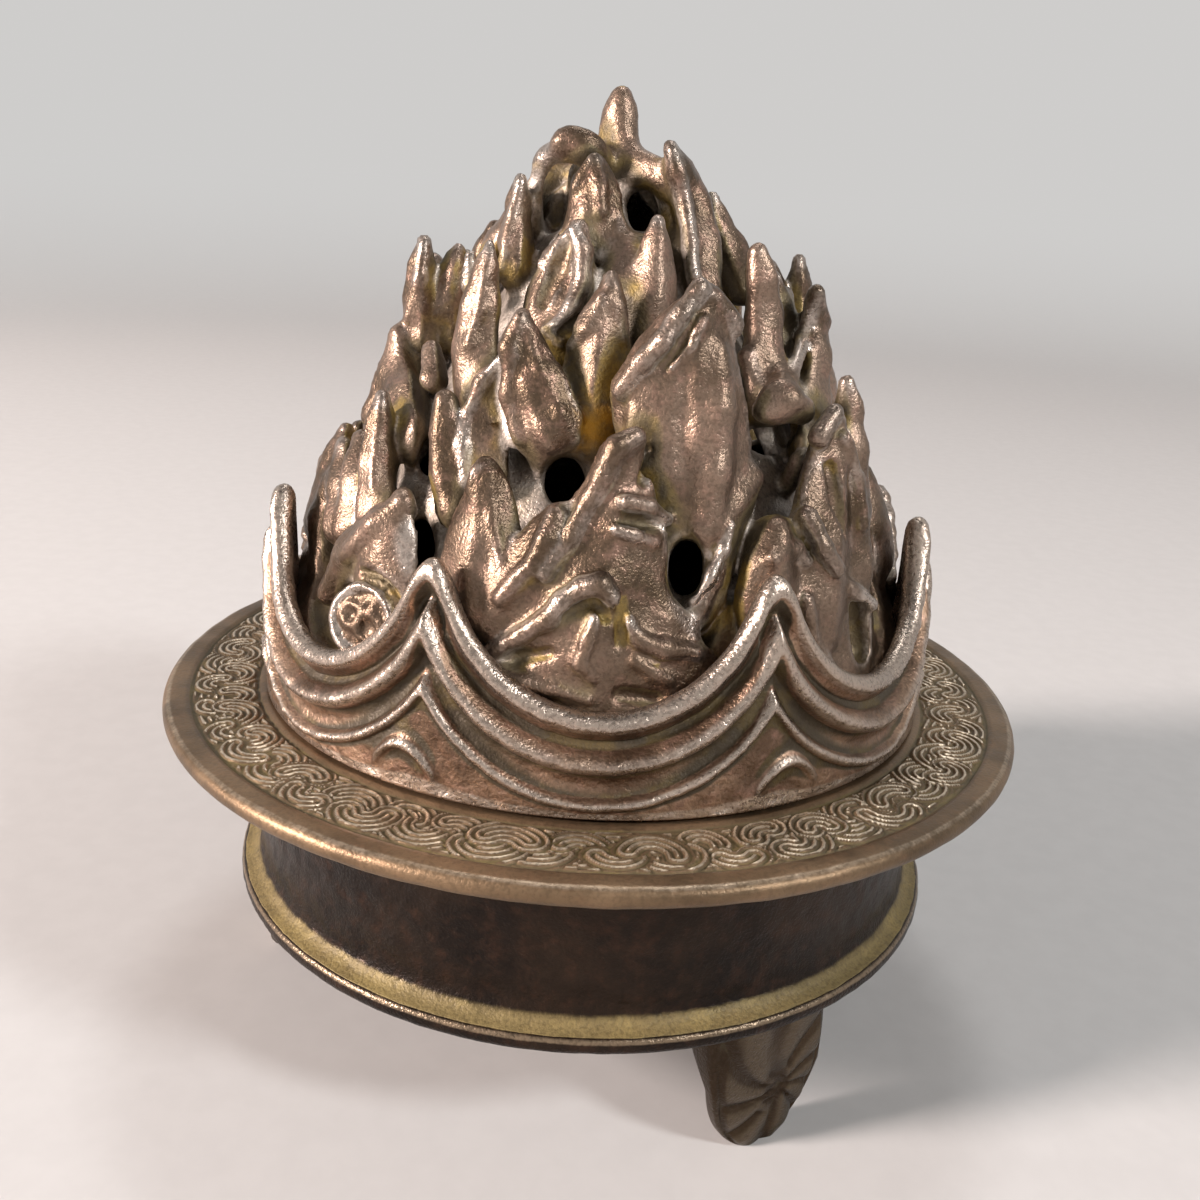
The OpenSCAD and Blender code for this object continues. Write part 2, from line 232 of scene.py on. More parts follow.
def patinaBronze(name, look):
    # cast bronze: brown skin that varies in clouds; olive patina and gold-brown deposits that gather in the hollows,
    # where dark dirt also paints in shade; bare metal polished on the ridges, lighter also as a painted highlight;
    # and a pebbled cast surface
    paint = Paint(name)
    at = paint.place()
    hollow, ridge = paint.mark("hollow"), paint.mark("ridge")
    cloud = paint.grain(at, patina["cloud"], 4)
    drift = paint.grain(at, patina["drift"], 3)
    fleck = paint.grain(at, patina["fleck"], 5, 0.65)
    pebble = paint.grain(at, patina["pebble"], 2)
    fine = paint.grain(at, patina["fine"], 2)
    skin = paint.mix(paint.between(cloud, 0.36, 0.64), look["dark"], look["brown"])
    skin = paint.mix(paint.between(fleck, 0.45, 0.75) * look["flecks"], skin, look["red"])
    height = paint.node("ShaderNodeSeparateXYZ", {}, {0: at}, "Z")
    low = paint.between(height, patina["lowFrom"] * mm, patina["lowTo"] * mm)
    skin = paint.mix(low * look.get("lowShare", 0), skin, look["dark"])
    # painted shade: the hollows darken towards the dirt colour, part dirt and part the shade that falls in them
    shadeAndGrime = paint.between(hollow + (drift - 0.5) * 0.25, look["shadeAndGrimeFrom"], look["shadeAndGrimeTo"]) * look["shadeAndGrimeShare"]
    settled = paint.between(hollow + (fleck - 0.5) * 0.35, look["settleFrom"], look["settleTo"]) * look["settle"]
    skin = paint.mix(shadeAndGrime, paint.mix(settled, skin, look["olive"]), look["shadeAndGrime"])
    skin = paint.mix(settled * paint.between(drift, 0.5, 0.62) * look["deposits"], skin, look["gold"])
    # painted highlight: the ridges lighten towards the bare-metal colour, part wear and part the highlight that light
    # puts on them
    edge = ridge + (fleck - 0.5) * 0.35 + (pebble - 0.5) * 0.15
    highlightAndRubbed = paint.between(edge, look["highlightAndRubFrom"], look["highlightAndRubTo"]) * look["highlightAndRub"]
    skin = paint.mix(highlightAndRubbed, skin, look["highlightAndWorn"])
    skin = paint.mix(paint.between(pebble, 0.56, 0.34) * look["pits"], skin, look["pit"])
    for spot in look.get("spots", []):
        # a round deposit: middle in mm, radius in mm
        middle, size = [c * mm for c in spot["at"]], spot["radius"]
        away = paint.node("ShaderNodeVectorMath", {"operation": "DISTANCE"}, {0: at, 1: middle}, "Value")
        share = 1 - paint.between(away + (fleck - 0.5) * size * mm, size * 0.35 * mm, size * mm)
        skin = paint.mix(share * spot["share"], skin, spot["colour"])
    rough = look["rough"] + settled * 0.2 - highlightAndRubbed * 0.1 + (cloud - 0.5) * 0.14 + (pebble - 0.5) * 0.2
    metal = look["metal"] + highlightAndRubbed * 0.15 - settled * 0.5
    lumps = paint.bump(fine, look["fine"], paint.bump(pebble, look["pebble"]))
    return paint.finish({"Base Color": skin, "Metallic": metal, "Roughness": rough,
                         "Specular IOR Level": look["shine"], "Normal": lumps})


# lid: the dark dirt colour also paints shade into the hollows, the bare-metal colour also paints highlights on the
# ridges, and the olive patina is kept dark in part as painted shade in the valleys
lidLook = {
    "dark": (0.105, 0.07, 0.043), "brown": (0.3, 0.21, 0.155), "red": (0.42, 0.25, 0.19), "pit": (0.06, 0.042, 0.03),
    "olive": (0.2, 0.155, 0.075), "gold": (0.4, 0.265, 0.05), "highlightAndWorn": (0.64, 0.56, 0.5),
    "shadeAndGrime": (0.045, 0.033, 0.018),
    "flecks": 0.6, "settleFrom": 0.2, "settleTo": 0.5, "settle": 0.8, "deposits": 0.6,
    "shadeAndGrimeFrom": 0.3, "shadeAndGrimeTo": 0.78, "shadeAndGrimeShare": 0.85, "highlightAndRubFrom": 0.3, "highlightAndRubTo": 0.85, "highlightAndRub": 0.65, "pits": 0.35,
    "rough": 0.36, "metal": 0.82, "shine": 0.5, "lowShare": 0.45, "pebble": 0.105, "fine": 0.05,
    "spots": [{"at": (-1.5, -26.5, seat + 41), "radius": 4.5, "share": 0.95, "colour": (0.5, 0.25, 0.015)}],
}
# tray: the scroll tops take a bright bare-metal colour, partly a painted highlight, and the ground between them
# darkens to dirt that is partly painted shade
trayLook = {
    "dark": (0.11, 0.072, 0.04), "brown": (0.225, 0.148, 0.085), "red": (0.27, 0.155, 0.088),
    "pit": (0.05, 0.037, 0.022),
    "olive": (0.13, 0.1, 0.045), "gold": (0.22, 0.165, 0.05), "highlightAndWorn": (0.72, 0.61, 0.47),
    "shadeAndGrime": (0.045, 0.034, 0.015),
    "flecks": 0.4, "settleFrom": 0.3, "settleTo": 0.8, "settle": 0.75, "deposits": 0.5,
    "shadeAndGrimeFrom": 0.6, "shadeAndGrimeTo": 1.1, "shadeAndGrimeShare": 0.7, "highlightAndRubFrom": 0.3, "highlightAndRubTo": 0.8, "highlightAndRub": 0.8, "pits": 0.25,
    "rough": 0.42, "metal": 0.7, "shine": 0.5, "pebble": 0.05, "fine": 0.02,
}
# bowl wall and floor plate: bronze made nearly black as painted shade under the tray, with a green-gold patina where
# it gathers
bowlShadedLook = {
    "dark": (0.009, 0.0055, 0.004), "brown": (0.024, 0.014, 0.0085), "red": (0.06, 0.028, 0.016),
    "pit": (0.025, 0.016, 0.01),
    "olive": (0.27, 0.205, 0.088), "gold": (0.34, 0.26, 0.1), "highlightAndWorn": (0.36, 0.27, 0.18), "shadeAndGrime": (0.1, 0.07, 0.03),
    "flecks": 0.5, "settleFrom": 0.35, "settleTo": 0.8, "settle": 0.8, "deposits": 0.5,
    "shadeAndGrimeFrom": 1.5, "shadeAndGrimeTo": 2, "shadeAndGrimeShare": 0.0, "highlightAndRubFrom": 0.4, "highlightAndRubTo": 0.9, "highlightAndRub": 0.55, "pits": 0.3,
    "rough": 0.36, "metal": 0.5, "shine": 0.25, "pebble": 0.12, "fine": 0.03,
}
footLook = dict(
    lidLook, dark=(0.034, 0.021, 0.011), brown=(0.075, 0.048, 0.025), red=(0.08, 0.055, 0.032),
    olive=(0.06, 0.048, 0.022), gold=(0.1, 0.075, 0.03), highlightAndWorn=(0.2, 0.16, 0.11), highlightAndRub=0.4, spots=[],
)
# wave band: olive nearly as dark as the skin, and dark dirt from shallow hollows, both painted shade in the grooves;
# the bright ribs are partly a painted highlight
bandLook = dict(
    lidLook, dark=(0.14, 0.086, 0.054), brown=(0.38, 0.25, 0.168), olive=(0.1, 0.075, 0.036),
    highlightAndWorn=(0.56, 0.475, 0.405), shadeAndGrimeFrom=0.15, shadeAndGrimeTo=0.55, highlightAndRubFrom=0.2, highlightAndRub=0.7, deposits=0.15, lowShare=0, spots=[],
)
lidBronze = patinaBronze("lidBronze", lidLook)
trayBronze = patinaBronze("trayBronze", trayLook)
bowlBronze = patinaBronze("bowlBronze", bowlShadedLook)
footBronze = patinaBronze("footBronze", footLook)
bandBronze = patinaBronze("bandBronze", bandLook)
print("finishes made")

# Camera: where the photograph was taken from, three tray radii away and a little turned;
# picture is its width in pixels
camera = {"at": (0.57, -164.9, 114.9), "down": 18.88, "roll": 3.35, "lens": 36.0, "sensor": 36.0, "picture": 1200}


def cameraAxes(c):
    # the camera's right, up and ahead directions
    down, roll = math.radians(c["down"]), math.radians(c["roll"])
    right, up = np.array([1.0, 0, 0]), np.array([0, math.sin(down), math.cos(down)])
    ahead = np.array([0, math.cos(down), -math.sin(down)])
    return right * math.cos(roll) + up * math.sin(roll), up * math.cos(roll) - right * math.sin(roll), ahead


def sightLine(x, y):
    # from the camera through a point of the picture, one mm ahead per step, heights above the seat
    right, up, ahead = cameraAxes(camera)
    focal = camera["lens"] / camera["sensor"] * camera["picture"]
    half = camera["picture"] / 2
    return np.array(camera["at"]) - (0, 0, seat), ahead + right * (x - half) / focal + up * (half - y) / focal


def seenAt(x, y, radius, wide):
    # where the line through a picture point first meets the cylinder of that radius, or passes nearest to the axis,
    # and the half width there of something that many pixels wide
    start, way = sightLine(x, y)
    a, b = way[:2] @ way[:2], start[:2] @ way[:2]
    ahead = (-b - math.sqrt(max(b * b - a * (start[:2] @ start[:2] - radius ** 2), 0))) / a
    return start + way * ahead, wide / 2 * ahead * camera["sensor"] / camera["lens"] / camera["picture"]


# Waves: a section carried round the slope. Three ribs follow arcs z = low + R - sqrt(R^2 - x^2) across a lobe
# and meet in a crest between lobes; the top rib is the rim, which rounds over to the back.
waves = {
    "lobes": 7, "turn": 1.5, "out": 46.5, "lean": 0.08, "thick": 3.0, "tipThick": 3.2, "bottom": 0.5,
    "low": 2.2, "step": 4.9, "rise": 11.2, "riseStep": 2.4,
    "columns": 840, "rows": 84, "capRows": 11, "backRows": 12,
    "rimLow": 12.6, "rimRise": 13.2, "crestHalf": 2.0, "crestHigh": 1.6,
    "ribs": [(0.75, 0.6), (1.4, 1.15), (1.1, 1.4)],      # relief and half width of each rib
    "grooves": [(0.75, 0.42), (1.25, 0.5)],              # depth, and place between two ribs
    "crescents": [-27, 30.5, 78.5, 130, 181.5, 233, 284.5],
    "crescent": {"high": 6.0, "half": 4.5, "fall": 3.4, "wide": 0.75, "relief": 0.9},
}


def waveLine(w, k, turns):
    # height and steepness of a rib at each turn; x is mm from a lobe's middle
    half = math.pi * w["out"] / w["lobes"]
    x = np.abs(2 * (((turns - w["turn"]) * w["lobes"] / 360 + 0.5) % 1) - 1) * half
    low, rise = w["low"] + k * w["step"], w["rise"] + k * w["riseStep"]
    blunt = 0
    if k == 2:                             # the rim's arcs end short of the crest, which has a rounded top
        half -= w["crestHalf"]
        low, rise = w["rimLow"], w["rimRise"]
        blunt = w["crestHigh"] * (1 - (1 - np.clip((x - half) / w["crestHalf"], 0, 1)) ** 2)
        x = np.minimum(x, half)
    arc = (half ** 2 + rise ** 2) / (2 * rise)
    flat = np.sqrt(np.maximum(arc ** 2 - x ** 2, 1))
    return low + arc - flat + blunt, np.where(blunt > 0, 0.8, x / flat)


# Mountain: one skin drawn round a field of distances, because its peaks lean, overhang and run together.
# It is built of bars that taper through points. A mass has its section (2 round, 1.3 a blade) and then
# picture x, picture y, radius and width in pixels; a ridge has how far it stands proud, as a share,
# and then picture x, picture y and width.
mountain = {
    "cell": 0.4, "foot": 44.0, "high": 74.0, "bulge": 1.35, "wall": 3.0, "crown": 1.9, "sunk": 0.7,
    "registerIn": 39.45, "boxLow": (-46, -46, -1.2), "boxHigh": (46, 46, 80.5), "cutOff": 0.94, "triangles": 190000,
    "skirt": {"behind": 0.8, "fallFrom": 11, "fall": 0.5, "under": 1.2, "top": 22, "fillet": 2.0},
    # fillets, and how much they grow with a bar's half width up to widest; margin is the room left round a bar
    "fillets": {"summit": (1.0, 0.6), "masses": (0.9, 0.5), "ridges": (0.35, 0.4), "hollows": (0.6, 0)},
    "widest": 2.5, "margin": 3,
    "breakDeep": 3, "breakShare": 1.2,                   # a step in depth that parts a ridge, in mm and as a share
    "hollowSteps": (1.2, 3, 6), "ridgeSteps": (1.1, 2.4),      # how far out and in the marks look
    "summitAt": (-0.5, -0.3),
    "summit": [(78.1, 1.35), (76, 1.9), (71.5, 2.75), (66, 3.9)],      # height and half width of the summit's finger
    "masses": {
        "summitLeft": [
            [1.5, (533, 230, 10.2, 30), (537, 198, 9.6, 27), (549, 163, 9.4, 27), (569, 143, 8.6, 29),
             (588, 150, 7, 28),
             (603, 164, 4, 30)],
            [1.4, (521, 180, 13.2, 14), (518, 205, 13.4, 24), (516, 240, 13.8, 34), (514, 270, 14.6, 42)],
        ],
        "summitRing": [
            [1.3, (595, 162, 9.8, 16), (595, 180, 9.8, 34), (593, 205, 10.4, 56), (590, 232, 11.6, 72)],
            [1.3, (671, 150, 10.4, 19), (680, 172, 10.4, 30), (692, 205, 11.2, 44), (700, 245, 13.2, 52),
             (704, 282, 15.2, 56)],
            [1.5, (634, 250, 12.6, 50), (624, 285, 15.2, 60)],
            [1.5, (634, 166, 3, 40), (650, 172, 6, 34), (664, 184, 8, 34)],
            [1.6, (662, 186, 5, 40), (672, 222, 7.5, 46), (680, 262, 11, 50)],
        ],
        "upperRing": [
            [1.4, (658, 223, 16, 16), (656, 245, 16.4, 26), (655, 275, 17, 38), (652, 302, 18, 44),
             (650, 332, 19, 50)],
            [1.3, (578, 230, 16.2, 22), (568, 262, 16.4, 46), (560, 300, 17.6, 70), (556, 330, 19.4, 84)],
            [1.3, (611, 279, 22, 17), (608, 302, 22.6, 30), (602, 332, 23.4, 46), (597, 365, 24.4, 58),
             (596, 400, 25.4, 62), (597, 432, 26.4, 62)],
            [1.4, (424, 242, 23.5, 15), (422, 268, 23, 24), (421, 300, 22.6, 34), (421, 335, 22.6, 44)],
            [1.4, (399, 338, 26, 26), (401, 365, 27, 40), (406, 402, 28, 54), (410, 435, 29.4, 62)],
            [1.5, (432, 352, 25.5, 24), (434, 380, 26.5, 30)],
            [1.5, (456, 263, 20, 19), (453, 292, 20.5, 28), (451, 335, 21, 40)],
            [1.4, (490, 246, 21.5, 13), (486, 272, 22, 26), (480, 305, 22.6, 42), (475, 350, 23.4, 54),
             (476, 385, 24.4, 58)],
            [1.5, (470, 257, 20.5, 13), (469, 285, 21, 22)],
            [1.6, (758, 254, 21.5, 23), (762, 280, 22, 32), (764, 320, 22.4, 40), (764, 362, 23.4, 50),
             (764, 405, 25, 58)],
            [1.5, (786, 295, 21, 17), (788, 335, 22, 28), (788, 376, 24, 42)],
            [1.4, (816, 294, 27, 21), (816, 322, 27, 28), (813, 360, 27.4, 38), (810, 402, 28, 48),
             (808, 445, 29.4, 56)],
        ],
        "middleRing": [
            [1.3, (497, 366, 27.6, 16), (487, 390, 27.6, 34), (484, 430, 28.4, 48), (486, 470, 30, 54)],
            [1.6, (446, 403, 31, 27), (446, 432, 31.4, 31), (449, 470, 32, 38), (454, 508, 33, 46)],
            [1.3, (521, 316, 28, 20), (522, 345, 28, 38), (534, 385, 28.4, 62), (546, 425, 29.2, 80)],
            [1.4, (545, 400, 26, 50), (552, 445, 26.8, 66)],
            [1.3, (702, 292, 30.6, 22), (700, 320, 30.6, 54), (690, 360, 31, 92), (690, 410, 31.6, 112),
             (692, 460, 32.4, 116), (694, 512, 33.2, 112), (694, 548, 34.6, 100)],
            [1.3, (684, 322, 29.6, 34), (662, 354, 29.4, 50), (644, 388, 29.4, 58), (640, 424, 30, 56)],
            [1.6, (764, 410, 30.6, 26), (782, 400, 31.2, 34), (800, 410, 32, 32)],
            [1.5, (778, 405, 30.4, 36), (780, 396, 27, 44), (780, 390, 24, 46)],
            [1.5, (748, 477, 32.6, 32), (730, 500, 34, 38), (716, 522, 35, 40)],
        ],
        "lowerRing": [
            [1.3, (382, 397, 33, 17), (380, 425, 33.4, 29), (378, 465, 34, 42), (377, 508, 35, 52),
             (376, 548, 36.6, 58)],
            [1.4, (362, 440, 33.4, 24), (358, 480, 34.6, 34), (352, 525, 36, 44)],
            [1.4, (346, 448, 35, 19), (343, 482, 35.8, 30), (340, 525, 36.8, 42)],
            [1.5, (331, 481, 36.6, 17), (324, 520, 37.4, 26), (322, 562, 38.8, 34)],
            [1.4, (488, 468, 35.8, 26), (488, 490, 35.8, 40), (486, 525, 36.4, 64), (481, 565, 37.6, 82),
             (478, 604, 38.8, 88)],
            [1.5, (404, 501, 36.6, 26), (398, 527, 37.2, 48), (389, 562, 38.2, 74), (384, 602, 39, 90)],
            [1.5, (380, 520, 38, 30), (352, 552, 39, 36), (332, 592, 40, 32)],
            [1.3, (636, 440, 35.6, 24), (619, 458, 36, 36), (618, 490, 36.2, 58), (612, 530, 36.8, 92),
             (604, 575, 37.8, 126), (598, 615, 38.8, 140)],
            [1.4, (556, 514, 37.2, 24), (549, 535, 37.6, 34), (536, 560, 38.2, 46), (514, 590, 39, 52),
             (488, 618, 39.8, 44)],
            [1.4, (728, 540, 36.2, 20), (714, 578, 37, 26), (700, 604, 37.8, 30)],
            [1.5, (720, 560, 33.8, 22), (708, 592, 35.2, 28), (696, 616, 36.8, 34)],
            [1.3, (835, 424, 35.2, 26), (828, 455, 35, 54), (822, 500, 35.8, 76), (818, 545, 37, 88),
             (816, 590, 38.4, 90), (815, 620, 39.2, 84)],
            [1.5, (847, 384, 34, 19), (849, 410, 34.4, 27), (850, 450, 35.2, 38), (850, 505, 36.4, 48),
             (850, 560, 37.6, 54), (850, 605, 38.8, 54)],
            [1.5, (776, 536, 38, 36), (770, 565, 38.8, 44), (766, 600, 39.4, 50), (764, 628, 39.8, 48)],
            [1.5, (772, 545, 36.4, 54), (767, 592, 37.8, 62)],
        ],
        "sidePeaks": [
            [1.4, (604, 192, 12.2, 14), (604, 217, 13, 28), (604, 252, 15, 42), (604, 287, 17, 48)],
            [1.3, (572, 274, 21, 16), (570, 305, 21.6, 34), (568, 345, 23, 50), (568, 380, 25, 56)],
            [1.3, (632, 268, 20.6, 16), (634, 298, 21.4, 34), (636, 340, 23, 50)],
            [1.3, (598, 372, 28, 20), (596, 402, 28.4, 44), (593, 445, 29.4, 66), (592, 485, 31, 76)],
            [1.4, (650, 398, 28.6, 18), (652, 430, 29.4, 34), (654, 470, 31, 46)],
            [1.4, (548, 396, 28.4, 18), (545, 426, 29, 34), (542, 468, 30.6, 46)],
            [1.3, (562, 512, 35.4, 22), (558, 538, 36, 44), (553, 575, 37, 70), (550, 612, 38.2, 84)],
            [1.3, (642, 505, 35.4, 20), (643, 532, 36, 42), (645, 572, 37, 66), (646, 610, 38.2, 80)],
            [1.4, (602, 548, 36.4, 18), (601, 575, 37.2, 34), (600, 612, 38.2, 44)],
        ],
        "frontLobe": [
            [1.6, (590, 606, 38.8, 80), (590, 645, 38.6, 160), (600, 690, 38.4, 220), (604, 720, 38.4, 240)],
        ],
        "rightLobe": [
            [1.5, (846, 608, 38.6, 54), (842, 650, 39, 110), (832, 690, 39.2, 140)],
        ],
    },
    "ridges": {
        "summitLeft": [
            [0.5, (521, 182, 9), (514, 210, 11), (506, 245, 12), (502, 268, 12)],
        ],
        "summitRing": [
            [0.5, (596, 160, 11), (600, 187, 13), (601, 214, 14)],
            [0.5, (592, 160, 11), (577, 187, 13), (561, 216, 12)],
            [0.55, (672, 152, 14), (678, 174, 16), (685, 207, 15), (690, 245, 14), (693, 278, 12)],
        ],
        "upperRing": [
            [0.7, (560, 232, 8), (541, 264, 9), (522, 302, 10)],
            [0.75, (574, 232, 16), (583, 252, 18), (582, 284, 18), (572, 308, 16), (556, 326, 13)],
            [0.6, (546, 330, 10), (560, 342, 12), (580, 328, 12), (592, 306, 12)],
            [0.4, (612, 284, 14), (617, 310, 14), (623, 340, 12)],
            [0.5, (602, 300, 14), (589, 328, 14), (571, 346, 12)],
            [0.4, (424, 246, 10), (421, 275, 12), (410, 318, 12)],
            [0.4, (490, 250, 10), (486, 275, 12), (479, 310, 12), (470, 345, 12)],
            [0.5, (809, 302, 12), (803, 335, 13), (793, 376, 14)],
        ],
        "middleRing": [
            [0.5, (500, 361, 12), (482, 381, 13), (469, 412, 13), (463, 446, 13), (466, 480, 12)],
            [0.5, (520, 318, 18), (510, 350, 20), (510, 395, 20), (520, 438, 18)],
            [0.35, (528, 330, 12), (540, 370, 13), (560, 415, 13), (575, 440, 12)],
            [0.8, (700, 288, 20), (683, 312, 21), (664, 342, 21), (642, 362, 20), (620, 392, 18)],
            [0.6, (702, 320, 12), (690, 344, 13), (670, 366, 12)],
            [0.35, (714, 296, 22), (732, 326, 22), (748, 358, 20), (756, 390, 18)],
            [0.3, (714, 352, 30), (717, 410, 40), (712, 470, 40), (704, 530, 34)],
        ],
        "lowerRing": [
            [0.5, (478, 468, 11), (470, 490, 11), (453, 513, 12), (441, 540, 12), (437, 566, 11)],
            [0.35, (490, 475, 12), (492, 520, 13), (500, 565, 12)],
            [0.4, (404, 503, 18), (374, 526, 20), (346, 556, 20)],
            [0.4, (382, 400, 10), (377, 440, 12), (374, 490, 12)],
            [0.7, (636, 436, 20), (617, 448, 24), (604, 476, 24), (588, 502, 20), (570, 540, 18), (545, 574, 16)],
            [0.8, (626, 502, 18), (650, 507, 16), (668, 519, 12)],
            [0.6, (618, 530, 14), (634, 534, 14), (656, 541, 11)],
            [0.5, (556, 514, 20), (546, 540, 20), (528, 568, 18), (500, 598, 16)],
            [1.0, (731, 525, 9), (724, 550, 11), (710, 579, 11), (692, 599, 11)],
            [0.9, (834, 414, 20), (819, 438, 22), (801, 462, 22), (787, 484, 22)],
            [0.9, (796, 488, 24), (807, 516, 22), (823, 546, 20), (838, 570, 16)],
            [0.6, (845, 438, 15), (856, 480, 16), (862, 524, 16)],
            [0.6, (772, 558, 16), (796, 548, 18), (806, 562, 14)],
        ],
        "frontLobe": [
            [0.75, (488, 656, 15), (516, 638, 18), (546, 621, 20), (562, 604, 20), (582, 589, 22),
             (600, 585, 22), (612, 598, 18)],
            [0.6, (597, 614, 12), (588, 640, 14), (580, 664, 14), (592, 680, 11)],
            [0.55, (500, 670, 20), (520, 682, 22), (546, 690, 16)],
            [0.6, (556, 690, 14), (586, 700, 13)],
            [0.6, (628, 622, 15), (640, 641, 17), (664, 648, 19), (696, 652, 17)],
            [0.55, (634, 660, 13), (652, 672, 14), (670, 681, 12)],
        ],
        "rightLobe": [
            [0.6, (806, 600, 16), (811, 640, 16), (833, 672, 14)],
            [0.8, (828, 602, 16), (848, 587, 18), (870, 604, 16), (882, 640, 13)],
        ],
    },
    # hollows cut along bars, in the same form as the ridges
    "hollows": {
        "summitLeft": [
            [0.25, (572, 164, 18), (556, 188, 22), (552, 222, 20)],
        ],
        "summitRing": [],
        "upperRing": [
            [0.3, (566, 243, 15), (556, 270, 22), (543, 300, 20)],
            [0.5, (560, 331, 10), (577, 317, 10)],
        ],
        "middleRing": [
            [0.35, (744, 438, 24), (768, 437, 30), (792, 429, 20)],
            [0.65, (698, 312, 8), (682, 342, 10), (662, 368, 10)],
            [0.75, (688, 372, 14), (684, 420, 20), (684, 470, 18)],
        ],
        "lowerRing": [
            [0.4, (646, 450, 12), (643, 480, 14)],
            [0.55, (622, 520, 9), (642, 522, 13), (660, 526, 9)],
            [0.35, (829, 468, 16), (838, 500, 20), (846, 532, 18)],
        ],
        "frontLobe": [
            [0.5, (566, 616, 11), (594, 602, 12), (606, 618, 12)],
            [0.5, (518, 658, 14), (548, 654, 14)],
            [0.5, (620, 602, 10), (621, 642, 12)],
            [0.55, (622, 696, 18), (656, 700, 18)],
        ],
        "rightLobe": [
            [0.1, (852, 606, 28), (856, 646, 34)],
        ],
    },
    # smoke vents of the front half: picture x, picture y, radius, width and height in pixels,
    # and the mm cut towards the viewer
    "vents": [
        (430, 458, 29.6, 22, 40, 3), (421, 545, 35, 30, 54, 3), (556, 198, 10, 24, 66, 8), (565, 482, 30, 42, 52, 3),
        (642, 210, 10.5, 32, 42, 3), (686, 568, 36.5, 36, 58, 3), (768, 440, 29, 44, 30, 3),
    ],
    "ventDeep": 8, "ventBox": 9, "ventFillet": 0.9,
    "medallion": {
        "turn": -40.5, "facing": -24, "radius": 42.2, "high": 17.2, "across": 4.2, "lean": 14, "box": 9, "deep": 6,
        "groove": 1.2, "grooveHalf": 0.9, "bead": 0.5, "leafHigh": 0.75, "leafMost": 0.8, "leafWide": 0.5,
        "leaves": [(-1.3, 0.5, 1.3), (1.2, -0.6, 1.5), (1.0, 2.0, 0.7)],      # middle and radius of each curl
    },
}


def slopeAt(z):
    # radius of the mountain's slope at a height above the seat
    return mountain["foot"] * (1 - (np.clip(z, 0, mountain["high"]) / mountain["high"]) ** mountain["bulge"])


def slopeHigh(r):
    # height of the slope at a radius
    return mountain["high"] * (1 - np.minimum(r / mountain["foot"], 1)) ** (1 / mountain["bulge"])


def barField(n, first, last, x, y, z):
    # distance to a bar between two points (place, half width): the section across it is |a|^n + |b|^n = width^n,
    # a along the slope and b out from it, and wide bars are flatter
    (p, wide), (q, ending) = first, last
    length = np.linalg.norm(q - p)
    along = (q - p) / length
    out = np.array([p[0] + q[0], p[1] + q[1], 0.0])
    out -= along * (out @ along)
    out /= max(np.linalg.norm(out), 1e-6)
    side = np.cross(along, out)
    x, y, z = x - p[0], y - p[1], z - p[2]
    reach = x * along[0] + y * along[1] + z * along[2]
    share = np.clip(reach / length, 0, 1)
    flat = min(1, (2.0 / max(wide, ending)) ** 0.6)
    a = np.abs(x * side[0] + y * side[1] + z * side[2])
    b = np.abs(x * out[0] + y * out[1] + z * out[2]) / flat
    past = reach - share * length
    return (np.sqrt((a ** n + b ** n) ** (2 / n) + past ** 2) - wide - (ending - wide) * share) * flat ** 0.5


def unbroken(points):
    # runs of points, parted where the next lies further behind or before the last one than beside it
    runs = [[points[0]]]
    for last, point in zip(points[:-1], points[1:]):
        step = point[0] - last[0]
        behind = abs(step @ cameraAxes(camera)[2])
        beside = math.sqrt(max(step @ step - behind ** 2, 0))
        if behind > mountain["breakDeep"] and behind > mountain["breakShare"] * beside:
            runs.append([])
        runs[-1].append(point)
    return [run for run in runs if len(run) > 1]


def turned(bars, turn, size=1):
    # the same bars carried round the axis
    s, c = math.sin(math.radians(turn)), math.cos(math.radians(turn))
    spin = np.array([[c, -s, 0], [s, c, 0], [0, 0, 1]])
    return [(n, [(spin @ place, wide * size) for place, wide in points]) for n, points in bars]


def allRound(groups):
    # the front half as drawn, the rear half the same turned half round without the summit's left side,
    # the side peaks at both sides, and the front lobe's hill in the rear lobes
    rings = [bar for key in ("summitRing", "upperRing", "middleRing", "lowerRing") for bar in groups[key]]
    sides = groups.get("sidePeaks", [])
    laid = turned(sides, -90) + turned(sides, 90) + groups["summitLeft"] + rings
    laid += groups["frontLobe"] + groups["rightLobe"] + turned(rings, 180, 1.03)
    for lobe in range(2, 6):
        laid += turned(groups["frontLobe"], lobe * 360 / waves["lobes"])
    return laid


